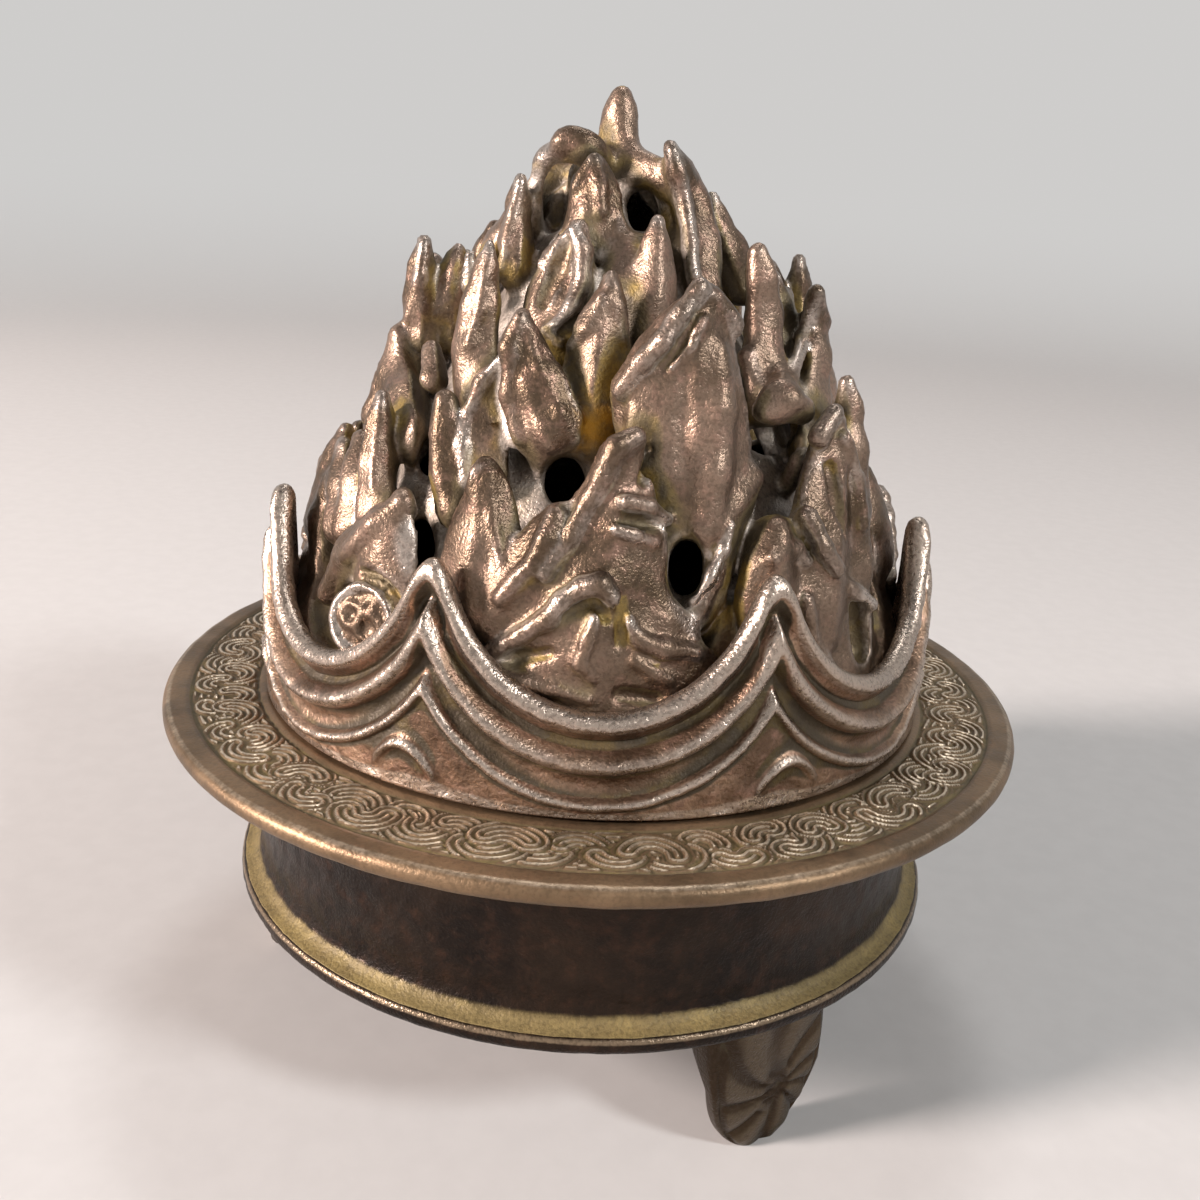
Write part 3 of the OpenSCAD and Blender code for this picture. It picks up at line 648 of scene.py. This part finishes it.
class Field:
    # distances on a grid over the lid, negative inside the metal; shapes are added and cut in their own boxes
    def __init__(self, low, high, cell):
        self.low, self.cell = np.array(low, float), cell
        self.axes = [np.arange(a, b + cell, cell, dtype=np.float32) for a, b in zip(low, high)]

    def block(self, low, high):
        cut = [slice(*np.searchsorted(axis, (a, b))) for axis, a, b in zip(self.axes, low, high)]
        x, y, z = (axis[c] for axis, c in zip(self.axes, cut))
        return tuple(cut), x[:, None, None], y[None, :, None], z[None, None, :]

    def sample(self, points):
        # straight-line blend of the eight values round each point
        at = np.clip((points - self.low) / self.cell, 0, np.array(self.values.shape) - 1.001)
        i = at.astype(int)
        f = at - i
        total = np.zeros(len(points))
        for corner in np.ndindex(2, 2, 2):
            share = np.prod(np.where(np.array(corner) == 1, f, 1 - f), axis=1)
            total += share * self.values[tuple((i + corner).T)]
        return total

    def work(self, bars, fillet, grow, sign=1):
        # bars are added, or cut away where the sign is -1
        for n, points in bars:
            for first, last in zip(points[:-1], points[1:]):
                reach = max(first[1], last[1]) + mountain["margin"]
                low, high = np.minimum(first[0], last[0]), np.maximum(first[0], last[0])
                cut, x, y, z = self.block(low - reach, high + reach)
                blend = fillet + grow * min(first[1], last[1], mountain["widest"])
                bar = barField(n, first, last, x, y, z)
                self.values[cut] = sign * softLeast(sign * self.values[cut], bar, blend)

    def onMetal(self, x, y, wide, proud):
        # a picture point laid on the metal that is seen there, sunk so that the given share stands out
        start, way = sightLine(x, y)
        ahead = np.arange(90, 180, 0.1)                  # from before the lid to behind its axis
        seen = self.sample(start + way * ahead[:, None])
        at = ahead[np.argmax(seen < 0)] if (seen < 0).any() else ahead[np.argmin(seen)]
        half = wide / 2 * at * camera["sensor"] / camera["lens"] / camera["picture"]
        return start + way * (at + half * (1 - 2 * proud)), half

    def skin(self):
        # a point in each crossed cell, at the mean of the crossings on its edges, and a quad round each crossed edge
        d = self.values
        inside = d < 0
        n = np.array(d.shape) - 1
        count = np.zeros(n, np.uint8)
        offsets = np.array(list(np.ndindex(2, 2, 2)))
        for o in offsets:
            count += inside[o[0]:n[0] + o[0], o[1]:n[1] + o[1], o[2]:n[2] + o[2]]
        crossed = (count > 0) & (count < 8)
        cells = np.argwhere(crossed)
        number = np.full(n, -1, np.int32)
        number[crossed] = np.arange(len(cells))
        corner = np.stack([d[tuple((cells + o).T)] for o in offsets], 1)
        total, met = np.zeros((len(cells), 3)), np.zeros(len(cells))
        for a in range(8):
            for b in range(a + 1, 8):
                if np.abs(offsets[a] - offsets[b]).sum() != 1:
                    continue
                cross = (corner[:, a] < 0) != (corner[:, b] < 0)
                share = np.where(cross, corner[:, a] / np.where(cross, corner[:, a] - corner[:, b], 1), 0)
                total += cross[:, None] * (offsets[a] + share[:, None] * (offsets[b] - offsets[a]))
                met += cross
        points = self.low + self.cell * (cells + total / met[:, None])
        quads = []
        for axis in range(3):
            one, two = np.eye(3, dtype=int)[(axis + 1) % 3], np.eye(3, dtype=int)[(axis + 2) % 3]
            first = [slice(1, -1)] * 3
            second = list(first)
            first[axis], second[axis] = slice(0, -1), slice(1, None)
            here, there = inside[tuple(first)], inside[tuple(second)]
            at = np.argwhere(here != there)
            outward = here[tuple(at.T)]
            at += 1 - np.eye(3, dtype=int)[axis]
            ring = [at - one - two, at - two, at, at - one]
            ring = np.stack([number[tuple(r.T)] for r in ring], 1)
            quads.append(np.where(outward[:, None], ring, ring[:, ::-1]))
        return points, np.concatenate(quads)


def setMedallion(field, d):
    # a raised disc with a bead round it and a groove round that, facing out from the slope
    lean, turn, facing = (math.radians(d[key]) for key in ("lean", "turn", "facing"))
    middle = np.array([d["radius"] * math.sin(turn), -d["radius"] * math.cos(turn), d["high"]])
    cut, x, y, z = field.block(middle - d["box"], middle + d["box"])
    u = (x - middle[0]) * math.cos(facing) + (y - middle[1]) * math.sin(facing)
    out = (x - middle[0]) * math.sin(facing) - (y - middle[1]) * math.cos(facing)
    up = z - d["high"]
    w = up * math.cos(lean) - out * math.sin(lean)
    o = out * math.cos(lean) + up * math.sin(lean)
    away = np.sqrt(u * u + w * w)
    # curled leaves: ridges along a short arc each
    leaf = sum(d["leafHigh"] * np.exp(-((np.sqrt((u - au) ** 2 + (w - aw) ** 2) - bend) / d["leafWide"]) ** 2)
               for au, aw, bend in d["leaves"])
    face = o - np.minimum(leaf, d["leafMost"]) * smoothStep(d["across"] - away, 0.3, 1.2)
    past = away - d["across"] - d["groove"]
    groove = np.sqrt(past ** 2 + (o + 0.1) ** 2) - d["grooveHalf"]
    bed = np.where(away < d["across"] + d["groove"], np.maximum(-o - 0.4, past), groove)
    field.values[cut] = -softLeast(-field.values[cut], bed, 0.5)
    disc = np.maximum(np.maximum(away - d["across"], face), -o - d["deep"])
    bead = np.sqrt((away - d["across"] + 0.2) ** 2 + (o - 0.1) ** 2) - d["bead"]
    field.values[cut] = softLeast(field.values[cut], softLeast(disc, bead, 0.4), 0.3)


def cutVents(field, m):
    # elliptic holes along the sight line, and again half round
    for flip in (1, -1):
        for px, py, r, wide, tall, near in m["vents"]:
            (place, wide), tall = seenAt(px, py, r, wide), seenAt(px, py, r, tall)[1]
            into = unit(sightLine(px, py)[1])
            side = unit(np.cross(into, (0, 0, 1)))
            over = np.cross(side, into)
            place, into, side, over = (v * (flip, flip, 1) for v in (place, into, side, over))
            cut, x, y, z = field.block(place - m["ventBox"], place + m["ventBox"])
            deep, across, up = ((x - place[0]) * v[0] + (y - place[1]) * v[1] + (z - place[2]) * v[2]
                                for v in (into, side, over))
            hole = (np.sqrt((across / wide) ** 2 + (up / tall) ** 2) - 1) * min(wide, tall)
            hole = np.maximum(hole, np.maximum(-near - deep, deep - m["ventDeep"]))
            field.values[cut] = -softLeast(-field.values[cut], hole, m["ventFillet"])


def carveMountain(m):
    field = Field(m["boxLow"], m["boxHigh"], m["cell"])
    x, y, z = (axis.reshape([-1 if k == i else 1 for k in range(3)]) for i, axis in enumerate(field.axes))
    radius = np.sqrt(x * x + y * y)
    tilt = m["foot"] * m["bulge"] / m["high"] * (np.clip(z, 0.5, None) / m["high"]) ** (m["bulge"] - 1)
    dome = (radius - slopeAt(z)) / np.sqrt(1 + tilt ** 2) + m["sunk"]
    field.values = np.maximum(dome, z - m["cutOff"] * m["high"]).astype(np.float32)
    # skirt: metal that fills in behind the waves
    k = m["skirt"]
    rim = waveLine(waves, 2, np.degrees(np.arctan2(x, -y)))[0]
    back = waves["out"] - waves["lean"] * z - waves["thick"] + k["behind"]
    back = back - k["fall"] * np.maximum(z - k["fallFrom"], 0)
    skirt = np.maximum(radius - back, z - np.minimum(rim - k["under"], k["top"]))
    field.values = softLeast(field.values, skirt, k["fillet"]).astype(np.float32)
    finger = [(np.array([*m["summitAt"], high]), wide) for high, wide in m["summit"]]
    field.work([(2, finger)], *m["fillets"]["summit"])
    masses = {key: [(row[0], [seenAt(*point) for point in row[1:]]) for row in rows]
              for key, rows in m["masses"].items()}
    field.work(allRound(masses), *m["fillets"]["masses"])
    for group, sign in (("ridges", 1), ("hollows", -1)):
        laid = {key: [(2, run) for row in rows
                      for run in unbroken([field.onMetal(*point, row[0]) for point in row[1:]])]
                for key, rows in m[group].items()}
        field.work(allRound(laid), *m["fillets"][group], sign)
    setMedallion(field, m["medallion"])
    # hollow of the lid, then the flat seat, then the vents
    inner = (radius - np.minimum(slopeAt(z) - m["wall"], m["registerIn"])) / np.sqrt(1 + tilt ** 2)
    inner = np.maximum(inner, z - float(slopeHigh(4.0)) + m["crown"])
    field.values = np.maximum(np.maximum(field.values, -inner), -z).astype(np.float32)
    cutVents(field, m)
    points, quads = field.skin()
    slope = np.stack([field.sample(points + e) - field.sample(points - e) for e in np.eye(3) * 0.5], 1)
    normal = slope / np.maximum(np.linalg.norm(slope, axis=1), 1e-6)[:, None]
    # hollow: how soon other metal is met on the way out; ridge: how soon the far side is met on the way in
    hollow = 1 - sum(field.sample(points + normal * far) / far for far in m["hollowSteps"]) / len(m["hollowSteps"])
    ridge = 1 + sum(field.sample(points - normal * far) / far for far in m["ridgeSteps"]) / len(m["ridgeSteps"])
    outside = smoothStep(points[:, 2], 0.3, 1.5)
    uneven = 0.08 * ripple(points, 5.0, 3) + 0.02 * ripple(points, 1.4, 4)
    points = points + normal * (uneven * outside)[:, None]
    points[:, 2] += seat
    return points, quads, {"hollow": np.clip(hollow, 0, 1), "ridge": np.clip(ridge, 0, 1)}


mountainPoints, mountainQuads, mountainMarks = carveMountain(mountain)
mountainNodes = ["lid_shell", "medallion", "foothills", "low_peaks", "middle_peaks", "high_peaks", "top_peaks",
                 "summit_peak"]
mountainPiece = placed("mountain", mountainPoints, mountainQuads, "lid", mountainNodes, "lid_bronze", lidBronze,
                       mountainMarks)
thin = mountainPiece.modifiers.new("thin", "DECIMATE")
thin.ratio = min(1, mountain["triangles"] / (2 * len(mountainQuads)))


def waveSection(w):
    turns = np.arange(w["columns"]) * 360 / w["columns"]
    lines = [waveLine(w, k, turns) for k in range(3)]
    top, steep = lines[2]
    # 0 in a lobe's middle, 1 at a crest
    x = np.abs(2 * (((turns - w["turn"]) * w["lobes"] / 360 + 0.5) % 1) - 1)
    thick = w["thick"] + (w["tipThick"] - w["thick"]) * smoothStep(x, 0.8, 1)
    share = np.linspace(0, 1, w["rows"])[None, :]
    z = w["bottom"] + (top - thick / 2 - w["bottom"])[:, None] * share
    r = w["out"] - w["lean"] * z
    for k, (line, slant) in enumerate(lines):
        relief, half = w["ribs"][k]
        half = half * np.sqrt(1 + slant ** 2)[:, None]
        q = z - (line[:, None] if k < 2 else (top - thick / 2)[:, None])
        r += relief * np.sqrt(np.clip(1 - (q / (1.25 * half)) ** 2, 0, None)) ** 1.4
    for k, (deep, place) in enumerate(w["grooves"]):
        gap = (lines[k + 1][0] - lines[k][0])[:, None]
        r -= deep * np.exp(-((z - lines[k][0][:, None] - place * gap) / (0.3 * gap)) ** 2)
    # crescents under the crests
    c = w["crescent"]
    for middle in w["crescents"]:
        u = np.radians((turns - middle + 180) % 360 - 180)[:, None] * w["out"] / c["half"]
        q = (z - (c["high"] - c["fall"] * u ** 2)) / c["wide"]
        r += c["relief"] * np.sqrt(np.clip(1 - u ** 2, 0, None)) * np.exp(-q ** 2)
    # rim: a half circle from the face to the back, then down the back to the slope and under
    angle = np.linspace(0, math.pi, w["capRows"])[None, 1:]
    edge, half = r[:, -1:], (thick / 2)[:, None]
    capR = edge - half * (1 - np.cos(angle))
    capZ = (top - thick / 2)[:, None] + half * np.sin(angle) * np.minimum(1 + 0.35 * steep[:, None], 1.5)
    fall = np.linspace(0, 1, w["backRows"])[None, 1:]
    backZ = capZ[:, -1:] * np.linspace(1, 0, w["backRows"])[None, 1:] + w["bottom"] * fall
    backR = np.maximum(capR[:, -1:] + 0 * backZ, slopeAt(backZ) + 0.2)
    rr = np.concatenate([r, capR, backR], 1)
    zz = np.concatenate([z, capZ, backZ], 1)
    a = np.radians(turns)[:, None]
    grid = roundAxis(rr, a, zz)
    # a strong gain, so the ribs lighten as painted highlight and the grooves darken as painted shade
    marks = gridMarks(grid, 8, 4.0)
    bumpy = 0.06 * ripple(grid, 4.0, 11) + 0.02 * ripple(grid, 1.2, 12)
    bumpy *= smoothStep(zz, 0.5, 1.5)
    grid = grid + bumpy[..., None] * roundAxis(1 + 0 * zz, a, 0 * zz)
    grid[..., 2] += seat
    return grid, marks


waveGrid, waveMarks = waveSection(waves)
placedGrid("waveBand", waveGrid, (True, True), "lid", ["wave_band"], "lid_bronze", bandBronze, waveMarks)

# Tray: a section carried round the axis, with running scrolls raised in the field between the waves and the border.
# Each scroll is a bundle of nested lines, cos(2 pi distance / pitch) from an arc, cut off by the scrolls
# laid over it.
tray = {
    "mouth": 41.55, "field": 47.5, "border": 56.4, "out": 60.0, "thick": 2.6, "sunk": 0.4, "relief": 0.45,
    "columns": 1320, "fieldRows": 44, "scrolls": 46, "pitch": 0.95,
    # a scroll's radius, half angle and reach, from and to, and its places across the field as shares
    "bend": (1.5, 3.4), "half": (0.9, 1.6), "reach": (1.9, 2.6), "rows": (0.72, 0.3),
    "bevel": 0.3, "inner": (43, 45, 46.5, 47.2), "step": [(56.7, -0.03), (57.2, 0), (57.8, 0.02)],
    "under": (56, 52, 48.6, 46, 43.5), "highlightAndWornAt": 59.2, "highlightAndWornWide": 0.6, "highlightAndWornDeep": 1.6,
}


def scrollRelief(t, arc, across):
    # arc: mm along the ring, across: mm from the inner edge of the field; height 0 to 1
    wide = t["border"] - t["field"]
    length = math.pi * (t["border"] + t["field"])
    rng = np.random.default_rng(21)
    height = 0.5 + 0.5 * np.cos(2 * math.pi * (across + 0.5 * np.sin(arc / 3.1)) / t["pitch"])
    for i in rng.permutation(2 * t["scrolls"]):
        hand = 1 if i % 2 else -1
        middle = (i + rng.uniform(-0.3, 0.3)) * length / (2 * t["scrolls"])
        high = wide * t["rows"][0 if i % 2 else 1] + rng.uniform(-0.6, 0.6)
        bend, half, size = (rng.uniform(*t[key]) for key in ("bend", "half", "reach"))
        s = (arc - middle + length / 2) % length - length / 2
        q = (across - high) * hand + bend * 0.7
        angle = np.arctan2(s, q) + rng.uniform(-0.5, 0.5)
        past = np.abs(angle) - half                      # beyond the ends of the arc
        apart = np.hypot(s, q)
        ended = np.sqrt(bend ** 2 + s ** 2 + q ** 2 - 2 * bend * apart * np.cos(np.clip(past, 0, math.pi)))
        far = np.where(past < 0, np.abs(apart - bend), ended)
        line = 0.5 + 0.5 * np.cos(2 * math.pi * far / t["pitch"])
        height = np.where(far < size, line * smoothStep(size - far, 0.05, 0.4), height)
    return height * smoothStep(across, 0.1, 0.7) * smoothStep(wide - across, 0.1, 0.7)


def traySection(t):
    turns = (np.arange(t["columns"]) * 2 * math.pi / t["columns"])[:, None]
    edge, mouth, bevel, under = t["thick"] / 2, t["mouth"], t["bevel"], seat - t["thick"]
    roll = np.linspace(math.pi / 2, -math.pi / 2, 12)[1:-1]
    profile = [(mouth + bevel, under), (mouth, under + bevel), (mouth, seat - bevel), (mouth + bevel, seat)]
    profile += [(r, seat) for r in t["inner"]]
    cut = slice(len(profile), len(profile) + t["fieldRows"])
    profile += [(r, seat - t["sunk"]) for r in np.linspace(t["field"], t["border"], t["fieldRows"])]
    profile += [(r, seat + up) for r, up in t["step"]] + [(t["out"] - edge, seat)]
    profile += [(t["out"] - edge + edge * math.cos(a), seat - edge + edge * math.sin(a)) for a in roll]
    profile += [(r, under) for r in (t["out"] - edge, *t["under"])]
    r, z = np.array(profile).T
    rr, zz = np.tile(r, (len(turns), 1)), np.tile(z, (len(turns), 1))
    arc = turns * (t["field"] + t["border"]) / 2
    relief = scrollRelief(t, arc + 0 * rr[:, cut], rr[:, cut] - t["field"])
    zz[:, cut] += relief * t["relief"]
    grid = roundAxis(rr, turns, zz)
    marks = gridMarks(grid, 3, 6.0)
    marks["ridge"] *= 0.3
    # in the field the ground darkens as painted shade and patina, and the scroll tops lighten as painted highlight
    marks["hollow"][:, cut] = np.clip(1 - relief * 1.3, 0, 1) * 0.9
    marks["ridge"][:, cut] = smoothStep(relief, 0.5, 0.95)
    # a band along the rim's outer top edge made lighter, part wear and part painted highlight
    highlightAndWorn = 0.5 * np.exp(-((r - t["highlightAndWornAt"]) / t["highlightAndWornWide"]) ** 2) * (z > seat - t["highlightAndWornDeep"])
    marks["ridge"] = np.maximum(marks["ridge"], highlightAndWorn[None, :])
    grid[..., 2] += 0.03 * ripple(grid, 7.0, 13) * (rr > mouth + 3)
    return grid, marks


trayGrid, trayMarks = traySection(tray)
placedGrid("tray", trayGrid, (True, True), "bowl", ["tray_rim"], "tray_bronze", trayBronze, trayMarks)

# Bowl wall and floor plate: closed sections carried round the axis
bowl = {
    "columns": 540, "face": 47.75, "faceTop": 43.6, "faceFoot": 25.1, "faceRows": 44, "floor": 22.2, "sole": 20.0,
    "floorRows": (0, 6, 12, 18, 24, 30, 36, 41, 44.5, 47, 48.2, 48.8, 49.4),
    "soleRows": (48, 44, 38, 30, 22, 14, 7, 0),
    "wall": [(44.55, 22.2), (44.55, 30), (44.55, 38), (44.55, 45.4), (46, 45.4), (48.3, 45.4), (47.95, 45.0),
             (47.75, 44.3)],
    "foot": [(47.8, 24.6), (47.95, 24.0), (48.25, 23.4), (48.7, 22.9), (49.2, 22.55), (49.7, 22.33),
             (50.1, 22.22), (50.2, 22.16), (48.4, 22.16), (46.5, 22.2)],
    "lip": [(50.0, 22.2), (50.4, 22.08), (50.65, 21.75), (50.75, 21.2), (50.75, 20.7), (50.6, 20.3),
            (50.2, 20.05), (49.8, 20.0)],
}


def carriedRound(profile, columns, seed, rough):
    # section points carried round, with cast unevenness along the radius
    r, z = np.array(profile).T
    a = (np.arange(columns) * 2 * math.pi / columns)[:, None]
    grid = roundAxis(r, a, z)
    marks = gridMarks(grid, 2, 3.0)
    uneven = rough * (ripple(grid, 4.0, seed) + 0.5 * ripple(grid, 1.7, seed + 1))
    uneven *= smoothStep(r, 0.5, 6)
    return grid + uneven[..., None] * roundAxis(1 + 0 * r, a, 0 * r), marks


def setBowl(b):
    # the wall's foot is green-gold outside, and the rest of the wall is plain and nearly black, painted shade under
    # the tray
    face = [(b["face"], z) for z in np.linspace(b["faceTop"], b["faceFoot"], b["faceRows"])]
    grid, marks = carriedRound(b["wall"] + face + b["foot"], b["columns"], 31, 0.05)
    low = smoothStep(-grid[..., 2], -24.8, -22.9) * (np.hypot(grid[..., 0], grid[..., 1]) > 46)
    marks["hollow"] = np.maximum(marks["hollow"], 0.75 * low)
    marks["ridge"] *= 0
    placedGrid("bowlWall", grid, (True, True), "bowl", ["bowl_wall"], "bowl_bronze", bowlBronze, marks)
    # the plate's top is green-gold and the edge of its lip is polished bare, lighter also as a painted highlight
    plate = [(r, b["floor"]) for r in b["floorRows"]] + b["lip"] + [(r, b["sole"]) for r in b["soleRows"]]
    grid, marks = carriedRound(plate, b["columns"], 41, 0.02)
    r, z = np.hypot(grid[..., 0], grid[..., 1]), grid[..., 2]
    marks["hollow"] = ((r < 50.2) & (z > 21)).astype(float)
    marks["ridge"] = np.exp(-((r - 50.65) / 0.35) ** 2) * (z > 21.2)
    placedGrid("floorPlate", grid, (True,), "bowl", ["floor_plate"], "tray_bronze", bowlBronze, marks, poles=True)


setBowl(bowl)

# Feet: tongues of rounded section carried down from the floor plate, with carved leaves on the face
feet = {
    "turns": {"foot_right": 32, "foot_rear": 152, "foot_left": 272}, "rows": 64, "round": 128,
    "out": 49.75, "high": 20.0, "wide": 18.5, "sole": 4.0, "lean": 2.0, "outline": 2.4, "corner": 0.55, "spread": 1.4,
    "backHigh": [0, 10, 14.5, 18, 20], "backDeep": [5.0, 9.0, 13.0, 14.0],
    "leafX": 1.2, "leafZ": 8.5, "leaves": 4.5, "curl": 0.16, "leafHigh": 0.95, "borderHigh": 0.35, "ground": 0.3,
}


def footSection(f, turn):
    # rows lie closer together near the tip, and the outline is |x|^n + |z|^n = 1 below the widest place
    u = np.linspace(0, 1, f["rows"])[:, None]
    share = 0.03 + 0.97 * u ** f["spread"]
    z = f["high"] * u ** f["spread"]
    half = f["wide"] / 2 * (1 - (1 - share) ** f["outline"]) ** (1 / f["outline"])
    front = f["out"] - f["lean"] * (1 - z / f["high"])
    back = f["out"] - np.interp(z, f["backHigh"], [f["lean"] + f["sole"], *f["backDeep"]])
    angle = np.linspace(0, 2 * math.pi, f["round"], endpoint=False)[None, :]
    x, depth = (np.sign(v) * np.abs(v) ** f["corner"] for v in (np.cos(angle), np.sin(angle)))
    x = half * x
    middle, deep = (front + back) / 2, (front - back) / 2
    out = middle + deep * depth
    face = smoothStep(depth, 0.2, 0.9)
    # leaves: lobes that fan out from a point right of the middle, curling, inside a plain border
    v = np.abs(x / np.maximum(half, 0.1))
    fan = np.arctan2(z - f["leafZ"], x - f["leafX"])
    reach = np.hypot(z - f["leafZ"], x - f["leafX"])
    lobes = np.abs(np.sin(f["leaves"] * fan + f["curl"] * reach)) ** 0.7
    inside = 1 - smoothStep(v, 0.78, 0.9)
    relief = (f["leafHigh"] * lobes * smoothStep(reach, 0.2, 2.5)) * inside
    relief = relief + f["borderHigh"] * smoothStep(v, 0.86, 0.94) - f["ground"]
    out = out + face * (relief - 0.5) * smoothStep(z, 0.3, 2)
    out = np.minimum(out, np.sqrt(np.maximum(front ** 2 - x ** 2, 0)) + face * (relief - 0.5) * 0.6)
    a = math.radians(turn)
    grid = np.stack([x * math.cos(a) + out * math.sin(a), x * math.sin(a) - out * math.cos(a), z + 0 * x], -1)
    # both ends are closed by rings that shrink to a point
    cap = grid.mean(1, keepdims=True)
    tip = [cap[:1] + (grid[:1] - cap[:1]) * k for k in (0, 0.6)]
    root = [cap[-1:] + (grid[-1:] - cap[-1:]) * k for k in (0.6, 0)]
    marks = {"hollow": np.clip(-relief * 1.4, 0, 1) * face, "ridge": np.clip(relief * 1.6, 0, 1) * face}
    ends = np.zeros((2, f["round"]))
    marks = {key: np.concatenate([ends, values + 0 * x, ends]) for key, values in marks.items()}
    return np.concatenate([*tip, grid, *root]), marks


for node, turn in feet["turns"].items():
    footGrid, footMarks = footSection(feet, turn)
    placedGrid(node + "_carved", footGrid, (False, True), "bowl", [node], "foot_bronze", footBronze, footMarks,
               poles=True)
for node, finish in (("foot_rivets", footBronze), ("lid_register", lidBronze)):
    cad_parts[node].data.materials.clear()
    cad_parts[node].data.materials.append(finish)


def aimCamera(c):
    data = bpy.data.cameras.new("camera")
    data.sensor_width, data.lens = c["sensor"], c["lens"]
    data.clip_start, data.clip_end = 0.01, 20
    right, up, ahead = cameraAxes(c)
    matrix = np.eye(4)
    matrix[:3, 0], matrix[:3, 1], matrix[:3, 2], matrix[:3, 3] = right, up, -ahead, np.array(c["at"]) * mm
    thing = bpy.data.objects.new("camera", data)
    thing.matrix_world = Matrix(matrix.tolist())
    bpy.context.scene.collection.objects.link(thing)
    bpy.context.scene.camera = thing


aimCamera(camera)

# Studio: a round pale floor that curves up into a wall all round, and soft lamps
studio = {
    "floor": (0.62, 0.61, 0.6), "bend": 0.9, "curve": 1.6, "wall": 4.5,
    "sky": (0.9, 0.95, 1.0), "skyLight": 0.06, "plainFrom": 0.6, "plainTo": 1.5, "plainLight": 1.0,
    "aim": (0, 0, 0.07),
    "lamps": [
        {"name": "leftLamp", "at": (-1.32, -0.5, 0.58), "size": 0.3, "power": 43, "colour": (1.0, 0.87, 0.82)},
        {"name": "rightLamp", "at": (0.95, -0.7, 0.95), "size": 0.26, "power": 11, "colour": (0.98, 0.99, 1.0)},
        {"name": "topLamp", "at": (0.1, 0.5, 1.5), "size": 0.4, "power": 5, "colour": (1.0, 1.0, 1.0)},
    ],
}


def backdrop(s):
    # a flat disc, then a quarter circle, then an upright wall, carried round the axis
    bend = np.linspace(0, math.pi / 2, 24)
    r = np.concatenate([[0, 0.3], s["bend"] + s["curve"] * np.sin(bend), [s["bend"] + s["curve"]]])
    z = np.concatenate([[0, 0], s["curve"] * (1 - np.cos(bend)), [s["wall"]]])
    a = (np.arange(96) * 2 * math.pi / 96)[:, None]
    grid = np.stack([r * np.sin(a), r * np.cos(a), z + 0 * a], -1)
    mesh = bpy.data.meshes.new("floor")
    mesh.from_pydata(grid.reshape(-1, 3).tolist(), [], gridQuads(96, len(r), True).tolist())
    closePoles(mesh)
    mesh.polygons.foreach_set("use_smooth", np.ones(len(mesh.polygons), dtype=bool))
    return mesh


def setStudio(s):
    scene = bpy.context.scene
    scene.view_settings.view_transform = "Standard"
    paint = Paint("floorPaper")
    at = paint.place()
    weave = paint.grain(at, 5, 3)
    tone = paint.mix(paint.between(weave, 0.3, 0.7), s["floor"], tuple(0.97 * c for c in s["floor"]))
    mesh = backdrop(s)
    # far from the object the backdrop shows one plain tone, which lights nothing
    far = paint.node("ShaderNodeVectorMath", {"operation": "LENGTH"}, {0: at}, "Value")
    rays = ("Is Camera Ray", "Is Glossy Ray", "Is Transmission Ray")
    seen = sum(paint.node("ShaderNodeLightPath", {}, {}, ray) for ray in rays)
    paper = paint.node("ShaderNodeBsdfPrincipled", {}, {"Base Color": tone, "Roughness": 0.85})
    plain = paint.node("ShaderNodeEmission", {}, {"Color": (*s["floor"], 1), "Strength": s["plainLight"]})
    share = paint.between(far, s["plainFrom"], s["plainTo"]) * seen
    both = paint.node("ShaderNodeMixShader", {}, {0: share, 1: paper, 2: plain})
    paint.node("ShaderNodeOutputMaterial", {}, {"Surface": both})
    mesh.materials.append(paint.material)
    floor = bpy.data.objects.new("floor", mesh)
    scene.collection.objects.link(floor)
    world = bpy.data.worlds.new("studioAir")
    scene.world = world
    world.use_nodes = True
    back = world.node_tree.nodes["Background"]
    back.inputs["Color"].default_value = (*s["sky"], 1)
    back.inputs["Strength"].default_value = s["skyLight"]
    for lamp in s["lamps"]:
        light = bpy.data.lights.new(lamp["name"], "AREA")
        light.shape, light.size, light.energy, light.color = "DISK", lamp["size"], lamp["power"], lamp["colour"]
        thing = bpy.data.objects.new(lamp["name"], light)
        at = Vector(lamp["at"])
        thing.location = at
        thing.rotation_mode = "QUATERNION"
        thing.rotation_quaternion = (Vector(s["aim"]) - at).to_track_quat("-Z", "Y")
        scene.collection.objects.link(thing)


setStudio(studio)
print("camera and studio set")
